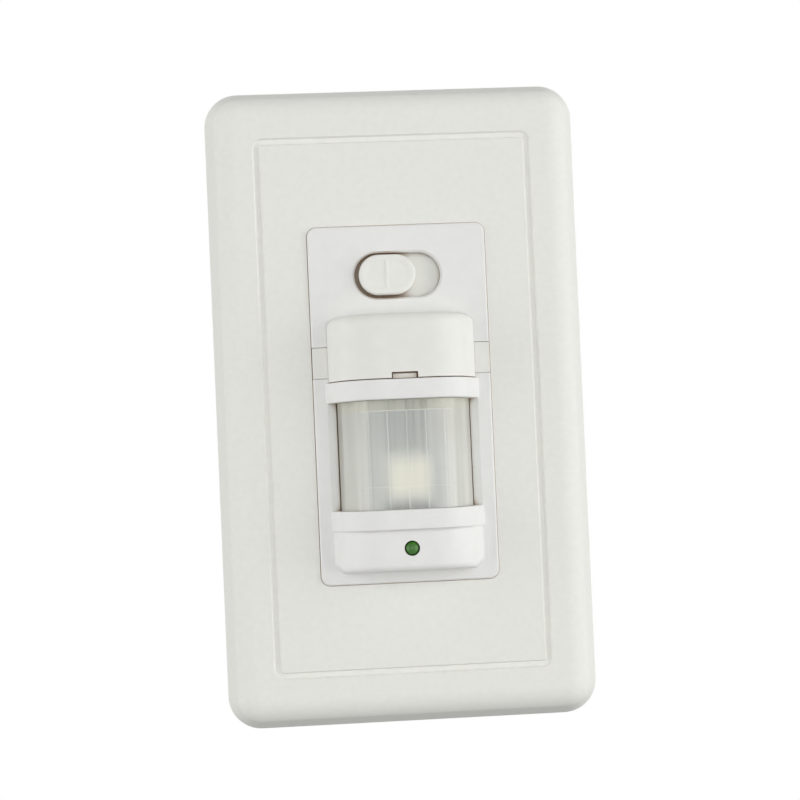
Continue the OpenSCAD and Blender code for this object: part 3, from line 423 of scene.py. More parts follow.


# Frosted lens: milky plastic mixed with rough see-through plastic. The outer fields, the top and the sensor's
# blurred image are milkier, the fields over the dark inside clearer; the sensor's image is also a painted
# cream patch, painted light. Streaks run up and seams show as fine pale lines. The foot in its slot is
# painted darker and brown, a painted shade. Shadow rays pass, so that the inside is lit.
def frosted(name, values):
    material, tree, shader, place = startMaterial(name)
    across, inwards, up = addNode(tree, "SeparateXYZ", {"Vector": place}).outputs
    sums = ("ABSOLUTE", "ADD", "SUBTRACT", "MULTIPLY", "MAXIMUM")
    size, plus, less, times, most = (partial(mathNode, tree, operation) for operation in sums)
    step, band, blend, tint = (partial(kind, tree) for kind in (stepNode, bandNode, blendNode, tintNode))
    aside = size(across)

    def ruled(distance):
        return step(distance, values["line"] * 1.6, values["line"] * 0.6)

    field, fieldSoft, pitch = values["field"], values["fieldSoft"], values["pitch"]
    low, high = values["levels"]
    levelSoft, (span, spanSoft) = values["levelSoft"], values["centre"]
    left, right, bottom, top = values["image"]
    softAcross, softUp, softBelow = values["imageSoft"]
    inner = step(aside, field + fieldSoft, field - fieldSoft)
    head = step(up, high - levelSoft, high + levelSoft)
    # painted light: the sensor's blurred image, a cream patch painted on the lens
    image = times(band(across, left, right, softAcross), band(up, bottom, top, softUp))
    dark = band(across, left - values["darkAside"], right, softAcross)
    dark = times(dark, step(up, bottom, bottom - softBelow))
    centre = times(inner, band(across, -span, span, spanSoft))
    fall = step(up, *values["fallEnds"])
    # mask of the foot deep in its slot, which gets a painted shade
    deep = step(inwards, *values["deepEnds"])
    streak = noiseNode(tree, place, *values["streaks"])
    share = blend(values["outerShare"], values["share"], inner)
    share = blend(share, values["centreShare"], centre)
    lean = times(across, blend(values["lean"] / 3, values["lean"], inner))
    share = less(plus(share, lean), times(fall, values["fall"]))
    for key, mask in (("headShare", times(head, centre)), ("imageShare", image), ("darkShare", dark)):
        share = blend(share, values[key], mask)
    share = plus(share, rangeNode(tree, streak, -values["streak"], values["streak"]))
    seam = ruled(mathNode(tree, "PINGPONG", across, pitch / 2))
    seam = times(seam, step(up, high + levelSoft, high - levelSoft))
    seam = times(seam, step(aside, field + values["seamPast"], field))
    rulePast = [field + past for past in values["rulePast"]]
    for level in (low, high):
        rule = ruled(size(less(up, level)))
        seam = most(seam, times(rule, step(aside, *rulePast)))
    share = times(share, less(1.0, times(seam, values["seam"])))
    share = blend(share, 0.0, deep)
    milk = rampNode(tree, noiseNode(tree, place, 500.0), values["milk"], values["otherMilk"])
    milk = tint(milk, values["pale"], less(1.0, inner))
    # cream over the top and over the sensor's image, where it is painted light
    milk = tint(milk, values["cream"], most(image, head))
    # the milk, with the foot's painted shade
    feed(shader, {"Base Color": tint(milk, values["paintedShade"], deep), "Roughness": values["rough"]})
    glass = {"Color": linear(*values["clear"]), "Roughness": values["rough"], "IOR": 1.06}
    through = addNode(tree, "BsdfRefraction", glass).outputs["BSDF"]
    passing = addNode(tree, "BsdfTransparent", {"Color": (*values["passing"], 1)}).outputs["BSDF"]
    shadow = addNode(tree, "LightPath", {}).outputs["Is Shadow Ray"]
    mix = addNode(tree, "MixShader", {"Fac": share, 1: shader.outputs["BSDF"], 2: through})
    last = addNode(tree, "MixShader", {"Fac": shadow, 1: mix.outputs["Shader"], 2: passing})
    feed(tree.nodes["Material Output"], {"Surface": last.outputs["Shader"]})
    return material


# Clear dark green plastic with a darker rim round the lamp's axis, a painted shade at the dome's steep edge.
def lampPlastic(name, values):
    material, tree, shader, place = startMaterial(name)
    axes = addNode(tree, "SeparateXYZ", {"Vector": place}).outputs
    rise = mathNode(tree, "SUBTRACT", axes["Z"], values["at"])
    squares = [mathNode(tree, "MULTIPLY", value, value) for value in (axes["X"], rise)]
    away = mathNode(tree, "SQRT", mathNode(tree, "ADD", *squares))
    cloudy = rampNode(tree, noiseNode(tree, place, 1500.0), values["shade"], values["other"])
    # painted shade: the rim round the axis darkens
    colour = tintNode(tree, cloudy, values["paintedRimShade"], stepNode(tree, away, *values["rim"]))
    feed(shader, {"Base Color": colour, "Roughness": 0.12, "IOR": 1.42})
    return material


# Lengths in these looks are in metres, because shaders see the frame's metres.
# Painted shade for tight gaps: where little is open within the reach, the colour is drawn towards dark brown.
gapShade = {"reach": 0.0018, "start": 0.5, "full": 0.16, "shade": (146, 108, 58)}
lensLook = {
    "milk": (237, 238, 234),
    "otherMilk": (233, 234, 230),
    "pale": (238, 238, 231),
    "cream": (240, 239, 226),
    # painted shade on the lens foot down in its slot
    "paintedShade": (132, 113, 80),
    "clear": (206, 208, 207),
    "share": 0.54,  # how much of what lies behind shows through the inner fields
    "outerShare": 0.46,
    "centreShare": 0.67,
    "headShare": 0.66,
    "imageShare": 0.2,
    "darkShare": 0.7,
    "lean": -10.0,  # change of the share to the right, per metre
    "fall": 0.07,  # change of the share from top to bottom
    "fallEnds": (-0.003, -0.012),
    "streak": 0.07,
    "streaks": (1100.0, 4.0, (1.0, 0.02, 0.02)),  # scale, detail and stretch
    "seam": 0.4,
    "rough": 0.3,
    "passing": (0.8, 0.81, 0.81),
    "field": 0.0073,  # half width of the inner fields
    "fieldSoft": 0.00012,
    "pitch": 0.0035,
    "line": 0.00007,
    "seamPast": 0.0003,  # how far seams fade out past the inner fields, and the level lines below
    "rulePast": (0.0012, 0.0004),
    "levels": (-0.0154, -0.0015),
    "levelSoft": 0.0001,
    "centre": (0.0042, 0.0022),  # half width of the clearer middle, and how softly it ends
    # the painted cream patch that stands for the lit sensor seen through the lens
    "image": (-0.0037, 0.0039, -0.0173, -0.0102),  # left, right, bottom and top of the sensor's image
    "imageSoft": (0.0016, 0.0021, 0.0022),  # across, up and below it
    "darkAside": 0.0005,
    "deepEnds": ((0.9 - faceOut) * mm, (1.5 - faceOut) * mm),
}
lampLook = {
    "shade": (48, 104, 24),
    "other": (60, 116, 34),
    # painted shade: the darker rim of the lamp's dome
    "paintedRimShade": (22, 62, 14),
    "rim": (0.00105, 0.00135),  # distances from the axis between which the rim darkens
    "at": -0.0267,
}
looks = {
    "plate_white": plastic(
        "plateWhite", (241, 241, 236), (238, 238, 233), 0.46, 900.0, 4200.0, 0.1, gapShade, 0.1
    ),
    "carrier_white": plastic("carrierWhite", (224, 224, 220), (218, 218, 214), 0.5),
    "bezel_white": plastic("bezelWhite", (237, 237, 235), (234, 234, 232), 0.4, paintedShade=gapShade),
    "cover_white": plastic("coverWhite", (237, 237, 232), (234, 234, 229), 0.4, paintedShade=gapShade),
    "lens_frosted": frosted("lensFrosted", lensLook),
    "lamp_green": lampPlastic("lampGreen", lampLook),
    "spacer_white": plastic("spacerWhite", (240, 238, 222), (234, 231, 214), 0.5),
    "sensor_can": metal("sensorCan", (206, 203, 190), (220, 217, 204), 0.38),
    "photocell_red": plastic("photocellRed", (190, 112, 78), (160, 88, 60), 0.4, 2600.0),
    "dial_grey": plastic("dialGrey", (98, 100, 102), (88, 90, 92), 0.45),
    "trimmer_blue": plastic("trimmerBlue", (46, 86, 150), (40, 76, 136), 0.35),
    "part_black": plastic("partBlack", (36, 36, 38), (28, 28, 30), 0.4),
    "board_white": board("boardWhite", (204, 206, 206), (190, 193, 194), 0.35),
    "board_brown": board("boardBrown", (150, 122, 70), (134, 106, 58), 0.45),
    "film_red": plastic("filmRed", (168, 50, 42), (152, 42, 36), 0.22),
    "fuse_grey": plastic("fuseGrey", (150, 166, 150), (138, 154, 138), 0.4),
    "housing_grey": plastic("housingGrey", (88, 90, 92), (80, 82, 84), 0.5, 300.0, 3400.0, 0.12),
    "strap_steel": metal("strapSteel", (188, 192, 194), (206, 209, 211), 0.36),
    "zinc_steel": metal("zincSteel", (196, 197, 199), (212, 212, 213), 0.3, (1.0, 6.0, 1.0)),
    "ground_green": metal("groundGreen", (58, 128, 74), (74, 148, 88), 0.34),
}


# Gives a finished piece its body and hides the nodes it stands for; the slot's name is not used.
def hand(obj, body, slotName, *nodes):
    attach(obj, body)
    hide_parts(*nodes)


# Builds a piece in its slot's look, cuts it where cutters are given and hands it over.
def makePiece(name, shells, body, slotName, node, cutters=(), sharp=sharpAngle):
    obj = buildPiece(name, shells, looks[slotName], sharp)
    if cutters:
        carve(obj, cutters)
    hand(obj, body, slotName, node)


print("stage: wall plate")
plate = {
    "opening": (16.64, 33.39, 1.74),  # half width, half height and corner radius
    "openingEdge": 0.15,
    "groove": (24.6, 49.0, 0.45),  # inner edge of the groove
    "grooveWide": 1.45,
    "grooveDeep": 0.45,
    "grooveWall": 0.34,
    "corner": 6.3,
    "shoulder": 5.9,  # how far the flat face ends inside the edge
    "skirt": 1.8,  # how far the crease lies inside the edge
    "skirtOut": 4.4,
    "skin": 1.8,
    "rim": 3.4,
    "foot": 0.15,
    "fold": 0.3,  # slope at the cavity's ceiling
    "lip": 0.08,  # flat rows beside the opening and the groove
    "flatRow": 3.5,
    "catch": (4.0, 0.8, 0.2, 1.0),  # half length, depth, back and front of a catch
    "catchAt": 17.0,
}


# The plate's profile, carried round rounded rectangles: opening wall, rounded edge, groove, shoulder arc,
# skirt, rim and the cavity behind.
def plateShells():
    half, tall, front = drawnBox("wall_plate")[1]
    base = (half, tall, plate["corner"])
    ceiling = front - plate["skin"]
    turn = np.linspace(0, np.pi / 2, 7)
    edge, lip = plate["openingEdge"], plate["lip"]
    wide, wall = plate["grooveWide"], plate["grooveWall"]
    across = np.linspace(0, wide, 21)
    deep = ease(0, wall, across) * (1 - ease(wide - wall, wide, across))
    shoulder, skirt, skirtOut = plate["shoulder"], plate["skirt"], plate["skirtOut"]
    run, drop = shoulder - skirt, front - skirtOut
    radius = (run**2 + drop**2) / (2 * drop)
    bend = np.linspace(0, math.asin(run / radius), 15)
    slope = skirt / skirtOut
    foot, share = plate["foot"], np.linspace(0, 1, 5)[1:]
    down = np.array([skirtOut - 0.15, skirtOut / 2, 0.6, foot])
    rim, fold = plate["rim"], plate["fold"]
    rows = [
        grown(plate["opening"], 0, ceiling),
        grown(plate["opening"], edge - edge * np.cos(turn), front - edge + edge * np.sin(turn)),
        grown(plate["opening"], [edge + lip, plate["flatRow"]], front),
        grown(plate["groove"], -lip, front),
        grown(plate["groove"], across, front - plate["grooveDeep"] * deep),
        grown(plate["groove"], wide + lip, front),
        grown(base, -shoulder - 0.1, front),
        grown(base, -shoulder + radius * np.sin(bend), front - radius + radius * np.cos(bend)),
        grown(base, -slope * down, down),
        grown(base, -slope * foot * (1 - share) ** 2 - foot * share**2, foot * (1 - share) ** 2),
        grown(base, [0.1 - rim, -rim, -rim, -rim - fold], [0, 0.1, ceiling - fold, ceiling]),
    ]
    shells = [ringShell(ringPoints(np.concatenate(rows), ringColumns(16, 14, 24)), True)]
    catchHalf, depth, back, out = plate["catch"]
    edgeUp = tall - rim
    for side in (-1, 1):
        for place in (-plate["catchAt"], plate["catchAt"]):
            ends = sorted([side * (edgeUp - depth), side * (edgeUp + 0.2)])
            shells.append(slabShell(catchHalf, *ends, 0.1, back, out, 0.1, place))
    return shells


makePiece("wallPlate", plateShells(), "switch_body", "plate_white", "wall_plate")


print("stage: bezel")
bezel = {
    "outer": (16.6, 33.35, 1.7),
    "inner": (15.0, 31.75),
    "front": faceOut,
    "skin": 1.6,
    "edge": 0.4,
    "flange": (20.5, 35.5, 1.7),
    "flangeBack": 1.3,
    "flangeFront": 3.0,
    "dome": (14.2, 4.4, 9.0, 8.9),  # half base, half flat, depth and radius
    "upperBand": (0.5, 4.2),
    "lowerBand": (-23.3, -19.6),
    "bandEdge": 0.3,
    "lampBox": (13.8, 4.4, 7.8, 8.9),
    "lampLow": -31.2,
    "lampSlope": 0.3,
    "lampEdge": 1.3,
    "lampCut": 1.5,
    "lampBlend": 0.4,  # width over which the cut corners blend into the lower edge
    "lampRound": (0.35, 0.05),  # the round edge as a share of the height, and its least radius
    "lampWall": 1.6,
    "lampHollow": (-28.8, -24.1),
    "lampAt": -26.7,
    "lampHole": 1.4,
    "windowHalf": 12.52,
    "cheek": (1.5, 0.8),
    "wingNotch": (12.1, 5.07, 10.97, faceOut - 1.7),  # side, low, high and floor
    "shelf": (0.7, 1.0),  # margin and thickness of the wall behind a notch
    "armSlot": (9.55, 11.65, 12.9, 16.05),
    "eyeRoom": (17.5, faceOut - 2.3, 1.15),  # height, out and radius of the room for a hinge eye
    "slot": (8.05, 4.2, 24.0, 0.35),  # half width, half height, height of the middle and lip
    "dialHole": 3.3,
    "dialAt": (8.5, 9.2),
    "fillet": 0.3,
}


# Height of the bezel's face: the face with its soft edge, both bands, the lamp housing, cheeks and notches.
def bezelOut(x, y):
    side = np.abs(x)
    low, high = bezel["lowerBand"], bezel["upperBand"]
    absent = -1.0
    rise = np.full(np.broadcast(x, y).shape, absent)
    for start, end in (low, high):
        band = domeHeight(side, *bezel["dome"]) - edgeDrop(np.minimum(y - start, end - y), bezel["bandEdge"])
        rise = np.where((y > start) & (y < end), band, rise)
    under, slope = y - bezel["lampLow"], bezel["lampSlope"]
    cut = (bezel["lampBox"][0] - side + under - bezel["lampCut"]) / math.sqrt(2)
    inside = softMin(under, cut, bezel["lampBlend"]) - slope
    top = domeHeight(side, *bezel["lampBox"])
    share, least = bezel["lampRound"]
    edge = np.clip(share * top, least, bezel["lampEdge"])
    steep = np.maximum(top - edge, 0) * (1 + inside / slope)
    housing = np.where(inside > 0, top - edgeDrop(inside, edge), np.where(inside > -slope, steep, absent))
    rise = np.where(y < low[0], np.maximum(housing, absent), rise)
    rise = softMax(rise, 0 * rise, bezel["fillet"])
    half, tall, radius = bezel["outer"]
    toSide, toEnd = side - half + radius, np.abs(y) - tall + radius
    outside = np.hypot(np.maximum(toSide, 0), np.maximum(toEnd, 0))
    outside = outside + np.minimum(np.maximum(toSide, toEnd), 0) - radius
    rise = rise - edgeDrop(np.maximum(-outside, 0), bezel["edge"])
    wide, deep = bezel["cheek"]
    cheek = deep * (1 - np.clip((side - bezel["windowHalf"]) / wide, 0, 1))
    rise = np.where((y > low[1]) & (y < high[0]), rise - cheek, rise)
    notchSide, notchLow, notchHigh, floor = bezel["wingNotch"]
    notched = (side > notchSide) & (y > notchLow) & (y < notchHigh)
    return np.where(notched, floor, bezel["front"] + rise)


# Height of the face's back: flat, hollow under the lamp housing, thicker behind the wing notches.
def bezelBack(x, y):
    side = np.abs(x)
    back = np.full(np.broadcast(x, y).shape, bezel["front"] - bezel["skin"])
    half, flat, depth, radius = bezel["lampBox"]
    wall = bezel["lampWall"]
    hollow = bezel["front"] + domeHeight(side, half - 1.2 * wall, flat - 0.5, depth - wall, radius - wall)
    start, end = bezel["lampHollow"]
    back = np.where((y > start) & (y < end), np.maximum(back, hollow), back)
    notchSide, notchLow, notchHigh, floor = bezel["wingNotch"]
    margin, thick = bezel["shelf"]
    shelf = (side > notchSide - margin) & (y > notchLow - margin) & (y < notchHigh + margin)
    return np.where(shelf, floor - thick, back)


# A border point's place on a rounded rectangle: its corner's arc, or its share of the straight side.
def borderOn(x, y, target):
    half, tall, radius = target
    baseHalf, baseTall = bezel["inner"]
    straightX, straightY = (size - bezel["outer"][2] for size in bezel["outer"][:2])
    side, up, far, high = np.sign(x), np.sign(y), np.abs(x), np.abs(y)
    corner = (far >= straightX - tiny) & (high >= straightY - tiny)
    onEnd = high >= baseTall - tiny
    span = (baseHalf - straightX) + (baseTall - straightY)
    share = np.where(onEnd, (baseTall - straightY) + (baseHalf - far), high - straightY)
    turn = np.clip(share / span, 0, 1) * np.pi / 2
    arcX = side * (half - radius + radius * np.cos(turn))
    arcY = up * (tall - radius + radius * np.sin(turn))
    lineX = np.where(onEnd, x / straightX * (half - radius), side * half)
    lineY = np.where(onEnd, up * tall, y / straightY * (tall - radius))
    return np.where(corner, arcX, lineX), np.where(corner, arcY, lineY)


# The bezel as a height field with a front and a back, a ring that carries its border round the soft edge,
# over the flange and up inside, and walls round the window and the hinge slots.
def bezelShell():
    halfX, halfY = bezel["inner"]
    outer, flat = bezel["outer"], bezel["dome"][1]
    cornerX, cornerY = outer[0] - outer[2], outer[1] - outer[2]
    fallen = bezel["bandEdge"] * np.array([0.05, 0.15, 0.3, 0.5, 0.75, 1.0])
    notchSide, notchLow, notchHigh = bezel["wingNotch"][:3]
    slotLow, slotHigh, armLow, armHigh = bezel["armSlot"]
    window = bezel["windowHalf"]
    xLines = gridLines(
        np.linspace(-flat, flat, 13),
        bothSides(np.linspace(flat, 12.5, 34)),
        bothSides(np.linspace(12.6, 14.8, 24)),
        bothSides([notchSide - hair, notchSide + hair, window, slotLow, slotHigh]),
        bothSides(np.linspace(cornerX, halfX, 6)),
    )
    bands = [*bezel["lowerBand"], *bezel["upperBand"]]
    steps = [y + way * d for y, way in zip(bands, (1, -1, 1, -1)) for d in fallen]
    share = np.linspace(0, 1, 15)
    lampSteps = bezel["lampLow"] + np.concatenate([
        [-0.25, -0.1, 0, bezel["lampSlope"] / 2], bezel["lampSlope"] + bezel["lampEdge"] * share**2,
    ])
    doubles = [*bands, notchLow, notchHigh, *bezel["lampHollow"]]
    yLines = gridLines(
        np.linspace(-halfY + 0.3, halfY - 0.3, 72),
        lampSteps,
        steps,
        [y + way * hair for y in doubles for way in (-1, 1)],
        [armLow, armHigh],
        bothSides(np.linspace(cornerY, halfY, 6)),
    )
    x, y = np.meshgrid(xLines, yLines)
    front = np.stack([x, y, bezelOut(x, y)], axis=-1)
    back = np.stack([x, y, bezelBack(x, y)], axis=-1)
    count = x.size
    frontIndex = np.arange(count).reshape(x.shape)
    backIndex = frontIndex + count
    midX, midY = np.meshgrid((xLines[1:] + xLines[:-1]) / 2, (yLines[1:] + yLines[:-1]) / 2)
    gone = (np.abs(midX) < window) & (midY > bezel["lowerBand"][1]) & (midY < bezel["upperBand"][0])
    gone |= (np.abs(midX) > slotLow) & (np.abs(midX) < slotHigh) & (midY > armLow) & (midY < armHigh)
    keep = ~gone
    border = borderOf(frontIndex)
    borderX, borderY = x.ravel()[border], y.ravel()[border]
    outerX, outerY = borderOn(borderX, borderY, outer)
    flangeX, flangeY = borderOn(borderX, borderY, bezel["flange"])
    rows = []
    for inset in (1.2, 0.8, 0.5, 0.4, 0.32, 0.24, 0.17, 0.11, 0.06, 0.025, 0.006, 0.0):
        part = inset / (outer[0] - halfX)
        ringX, ringY = outerX + (borderX - outerX) * part, outerY + (borderY - outerY) * part
        rows.append((ringX, ringY, bezelOut(ringX, ringY)))
    low, top = (0 * outerX + bezel[key] for key in ("flangeBack", "flangeFront"))
    rows += [(outerX, outerY, top), (flangeX, flangeY, top), (flangeX, flangeY, low), (borderX, borderY, low)]
    ring = np.stack([np.stack(row, axis=-1) for row in rows])
    ringIndex = 2 * count + np.arange(ring.shape[0] * ring.shape[1]).reshape(ring.shape[:2])
    strip = np.concatenate([border[None], ringIndex, (border + count)[None]])
    kept = keep.ravel()
    quads = np.concatenate([
        gridQuads(frontIndex)[kept], gridQuads(backIndex)[kept][:, ::-1],
        maskWalls(keep, frontIndex, backIndex), gridQuads(strip, closeColumns=True)[:, ::-1],
    ])
    used, compact = np.unique(quads, return_inverse=True)
    points = np.concatenate([front.reshape(-1, 3), back.reshape(-1, 3), ring.reshape(-1, 3)])[used]
    return points, compact.reshape(-1, 4)


# Cutters: the switch slot with its bevelled lip, the dial holes, the lamp's hole and the arms' room.
def bezelCutters():
    half, tall, up, lip = bezel["slot"]
    front, inside = bezel["front"], 3.0
    rows = grown((half, tall, tall), [0, 0, lip, lip], [inside, front - lip, front, front + 1])
    rows[:, 1:3] += up
    rows = np.concatenate([endLine(rows[0]), rows, endLine(rows[-1])])
    shells = [ringShell(ringPoints(rows, ringColumns(28, 10, 2)))]
    aside, dialUp = bezel["dialAt"]
    for place in (-aside, 0, aside):
        shells.append(rodShell(bezel["dialHole"], inside, 9, (place, dialUp, 0), "z", 62))
    shells.append(rodShell(bezel["lampHole"], 9, 20, (0, bezel["lampAt"], 0), "z", 62))
    return [buildPiece("cutter", [shell]) for shell in shells + armRooms()]


# Behind the hinge slots: a slope at 45 degrees from the slot's upper edge, and round room for the eye.
def armRooms():
    left, right = bezel["armSlot"][:2]
    high = bezel["armSlot"][3]
    eyeUp, eyeOut, room = bezel["eyeRoom"]
    top, deep, spare = bezel["front"] - 0.05, bezel["skin"] + 0.3, 0.02
    edge = high + spare
    section = [(high - 1, top), (edge, top), (edge + deep, top - deep), (high - 1, top - deep)]
    half = (right - left) / 2 + spare
    shells = []
    for side in (-1, 1):
        middle = side * (left + right) / 2
        shells.append(prismShell(section, middle - half, middle + half))
        shells.append(rodShell(room, -half, half, (middle, eyeUp, eyeOut), "x", 32))
    return shells


makePiece("sensorBezel", [bezelShell()], "switch_body", "bezel_white", "sensor_bezel", bezelCutters())


print("stage: cover")
cover = {
    "outline": (13.7, 4.15, 8.65, 8.65),
    "back": faceOut + 0.15,
    "low": 4.33,
    "high": 16.3,
    "wall": 1.3,
    "topEdge": 1.9,
    "lowEdge": 0.22,
    "notch": (2.4, 1.1, 0.9),  # half width, height and depth
    "notchGroove": (0.25, 1.6),  # width and depth of the groove round the notch's floor
    "innerEdges": (0.1, 0.5),  # low and high edge of the hollow
    "wing": (12.4, 16.57, 5.12, 10.42, faceOut - 1.4, faceOut),  # root, reach, low, high, back and front
    "wingRake": 0.5,
    "wingEdge": 0.1,
    "wingRoot": (0.5, 0.6, 0.2, 0.3),  # half width, place, inset of its ends and rise into the cover
    "hinge": (17.5, faceOut - 2.3),
    "arm": (10.6, 0.8, 0.9, 13.2, faceOut + 2.1),  # place, half width, thickness, foot and out
    "eye": (0.65, 1.05),
}


# A dome outline drawn in by a distance, carried up between two ends with rounded edges and closed by flat
# ends that reach the base: a grid of points whose border lies on the base.
def coverSheet(inset, low, high, lowEdge, topEdge):
    half, flat, depth, radius = cover["outline"]
    tilt = sideTilt(*cover["outline"])
    share = np.linspace(0, 1, 12) ** 2
    middle = np.linspace(low + lowEdge, high - topEdge, 8)
    up = gridLines(low + lowEdge * share, middle, high - topEdge * share)
    drawn = (inset + edgeDrop(up - low, lowEdge) + edgeDrop(high - up, topEdge))[:, None]
    turn = np.linspace(tilt, np.pi / 2, 30)[None, :]
    arcX, arcZ = flat + (radius - drawn) * np.cos(turn), depth - radius + (radius - drawn) * np.sin(turn)
    rise = np.linspace(0, 1, 6)[None, :-1]
    base = half - drawn / math.cos(tilt)
    sideX, sideZ = base + (arcX[:, :1] - base) * rise, arcZ[:, :1] * rise
    flatX = np.linspace(flat, 0, 7)[None, 1:] + 0 * drawn
    x = np.concatenate([sideX, arcX, flatX], axis=1)
    z = np.concatenate([sideZ, arcZ, depth - drawn + 0 * flatX], axis=1)
    x, z = np.concatenate([-x, x[:, -2::-1]], axis=1), np.concatenate([z, z[:, -2::-1]], axis=1)
    sheet = np.stack([x, up[:, None] + 0 * x, cover["back"] + z], axis=-1)
    ends = [sheet[:1].copy(), sheet[-1:].copy()]
    for row in ends:
        row[..., 2] = cover["back"]
    return np.concatenate([ends[0], sheet, ends[1]])


# The hollow cover: an outer and an inner sheet joined along the base.
def coverShells():
    wall, low, high = cover["wall"], cover["low"], cover["high"]
    outer = coverSheet(0, low, high, cover["lowEdge"], cover["topEdge"])
    inner = coverSheet(wall, low + wall, high - wall, *cover["innerEdges"])
    return [sheetPair(outer, inner)]


# Beside the cover: raked wings with their roots, arms on risers that reach inside it, and eyes for the pin.
def wingShells():
    root, reach, low, high, back, front = cover["wing"]
    rootHalf, rootAt, rootInset, rootRise = cover["wingRoot"]
    hingeUp, hingeOut = cover["hinge"]
    place, armHalf, thick, foot, footOut = cover["arm"]
    eyeIn, eyeOut = cover["eye"]
    eye = [(eyeIn, -armHalf), (eyeOut, -armHalf), (eyeOut, armHalf), (eyeIn, armHalf)]
    armBack, armTip, padHigh = hingeOut - thick / 2, hingeUp - 0.8, cover["high"] - cover["wall"] / 2
    soft, spare = 0.1, 0.02  # the spare keeps the riser's points off those of the arm
    columns = ringColumns(4, 8, 8)
    shells = []
    for side in (-1, 1):
        middle, arm = side * (reach + root) / 2, side * place
        sizes = ((reach - root) / 2, low, high, 0.15, back, front, cover["wingEdge"], middle)
        points, quads = slabShell(*sizes, 5, columns)
        lean = cover["wingRake"] * (points[:, 2] - back) / (front - back)
        points[:, 1] += np.where(points[:, 1] > (low + high) / 2, lean, 0)
        ends = (low + rootInset, high - rootInset, soft, back + soft, cover["back"] + rootRise)
        riser = (foot + spare, foot + thick, soft, armBack + spare, footOut - spare)
        shells += [
            (points, quads),
            slabShell(rootHalf, *ends, 0.05, side * (root + rootAt)),
            slabShell(armHalf, foot, armTip, soft, armBack, armBack + thick, soft, arm),
            slabShell(armHalf - spare, *riser, soft, arm),
            slabShell(armHalf, foot, padHigh, soft, footOut - 1.35, footOut, soft, arm),
            latheShell(eye, (arm, hingeUp, hingeOut), "x", 32, True),
        ]
    return shells


# Cutters for the fingernail notch: a recess, and a deeper groove along its two sides and its top.
def notchCutters():
    half, tall, deep = cover["notch"]
    width, grooveDeep = cover["notchGroove"]
    front = cover["back"] + cover["outline"][2]
    low, high, floor = cover["low"] - 1, cover["low"] + tall, front - grooveDeep
    shells = [slabShell(half, low, high, 0.1, front - deep, front + 1, 0.04)]
    for side in (-1, 1):
        aside = side * (half - width / 2)
        shells.append(slabShell(width / 2, low, high, 0.02, floor, front + 1.1, 0.01, aside))
    shells.append(slabShell(half - 0.01, high - width, high, 0.02, floor, front + 1.2, 0.01))
    return [buildPiece("cutter", [shell]) for shell in shells]


makePiece("coverShell", coverShells(), "cover", "cover_white", "adjust_cover", notchCutters())
makePiece("coverWings", wingShells(), "cover", "cover_white", "adjust_cover")


print("stage: knob")
knob = {
    "size": (5.25, 3.7, 3.7),
    "at": (-2.0, 24.0),
    "back": faceOut - 2.0,
    "front": faceOut + 1.8,
    "edge": 0.42,
    "dish": 0.2,
    "dishRim": (0.7, 1.7),
    "rib": (0.36, 2.75, 0.12),
    "shutter": (10.75, 4.9, faceOut - 2.8, faceOut - 1.8),
    "fork": (1.6, 0.5, 1.5, 0.9),  # place, half width, half height and depth of a prong
}


# The knob's stadium outline drawn in over its rounded edge to its middle line, with a shallow dish, a rib
# across the middle, the shutter behind and the fork that takes the switch's stem.
def knobShells():
    turn = np.linspace(0, np.pi / 2, 9)
    edge, base, top = knob["edge"], knob["size"], knob["front"]
    across, up = knob["at"]
    inset = np.concatenate([[0], edge - edge * np.cos(turn), np.linspace(edge, base[1], 14)[1:]])
    out = np.concatenate([[knob["back"]], top - edge + edge * np.sin(turn), np.full(13, top)])
    out = out - knob["dish"] * ease(*knob["dishRim"], inset)
    rows = grown(base, -inset, out)
    rows = np.concatenate([endLine(rows[0]), rows])
    rows[:, 1:3] += up
    shells = [ringShell(ringPoints(rows, ringColumns(24, 12, 2), across))]
    half, tall, soft = knob["rib"]
    shells.append(slabShell(half, up - tall, up + tall, half - 0.02, top - 1, top - 0.01, soft, across, 5))
    half, tall, back, front = knob["shutter"]
    shells.append(slabShell(half, up - tall, up + tall, 0.6, back, front, 0.08, across))
    aside, half, tall, deep = knob["fork"]
    for shift in (across - aside, across + aside):
        shells.append(slabShell(half, up - tall, up + tall, 0.1, back - deep, back + 0.3, 0.05, shift))
    return shells


makePiece("switchKnob", knobShells(), "knob", "cover_white", "switch_knob")


print("stage: bezel fittings")
fittings = {
    "root": faceOut - 0.8,  # where they end inside the face
    "boss": (1.9, 1.25, 1.3, 5.2),  # radius, hole's radius, foot and hole's end
    "bossAt": (14, 31.4),
    "rail": (7.0, 0.2, 0.8, 0.6, 0.8),  # half length, clearance, thickness, lap and depth of the hook
    "lug": (1.1, 0.65, 1.2, 0.35),  # radius, hole's radius, width and gap beside the arm
}


# A lug round the hinge pin: a half circle behind, and in front a straight block up to the root.
def lugShell(middle):
    radius, hole, wide = fittings["lug"][:3]
    up, out = cover["hinge"]
    turn = np.linspace(0, 2 * np.pi, 48, endpoint=False)
    cos, sin, rise = np.cos(turn), np.sin(turn), fittings["root"] - out
    block = np.minimum(radius / np.maximum(np.abs(cos), tiny), rise / np.maximum(sin, tiny))
    outer, left, right = np.where(sin > 0, block, radius), middle - wide / 2, middle + wide / 2
    points = []
    for reach, across in ((outer, left), (outer, right), (hole, right), (hole, left)):
        points.append(np.stack([across + 0 * turn, up + reach * cos, out + reach * sin], axis=-1))
    return ringShell(np.stack(points), True)


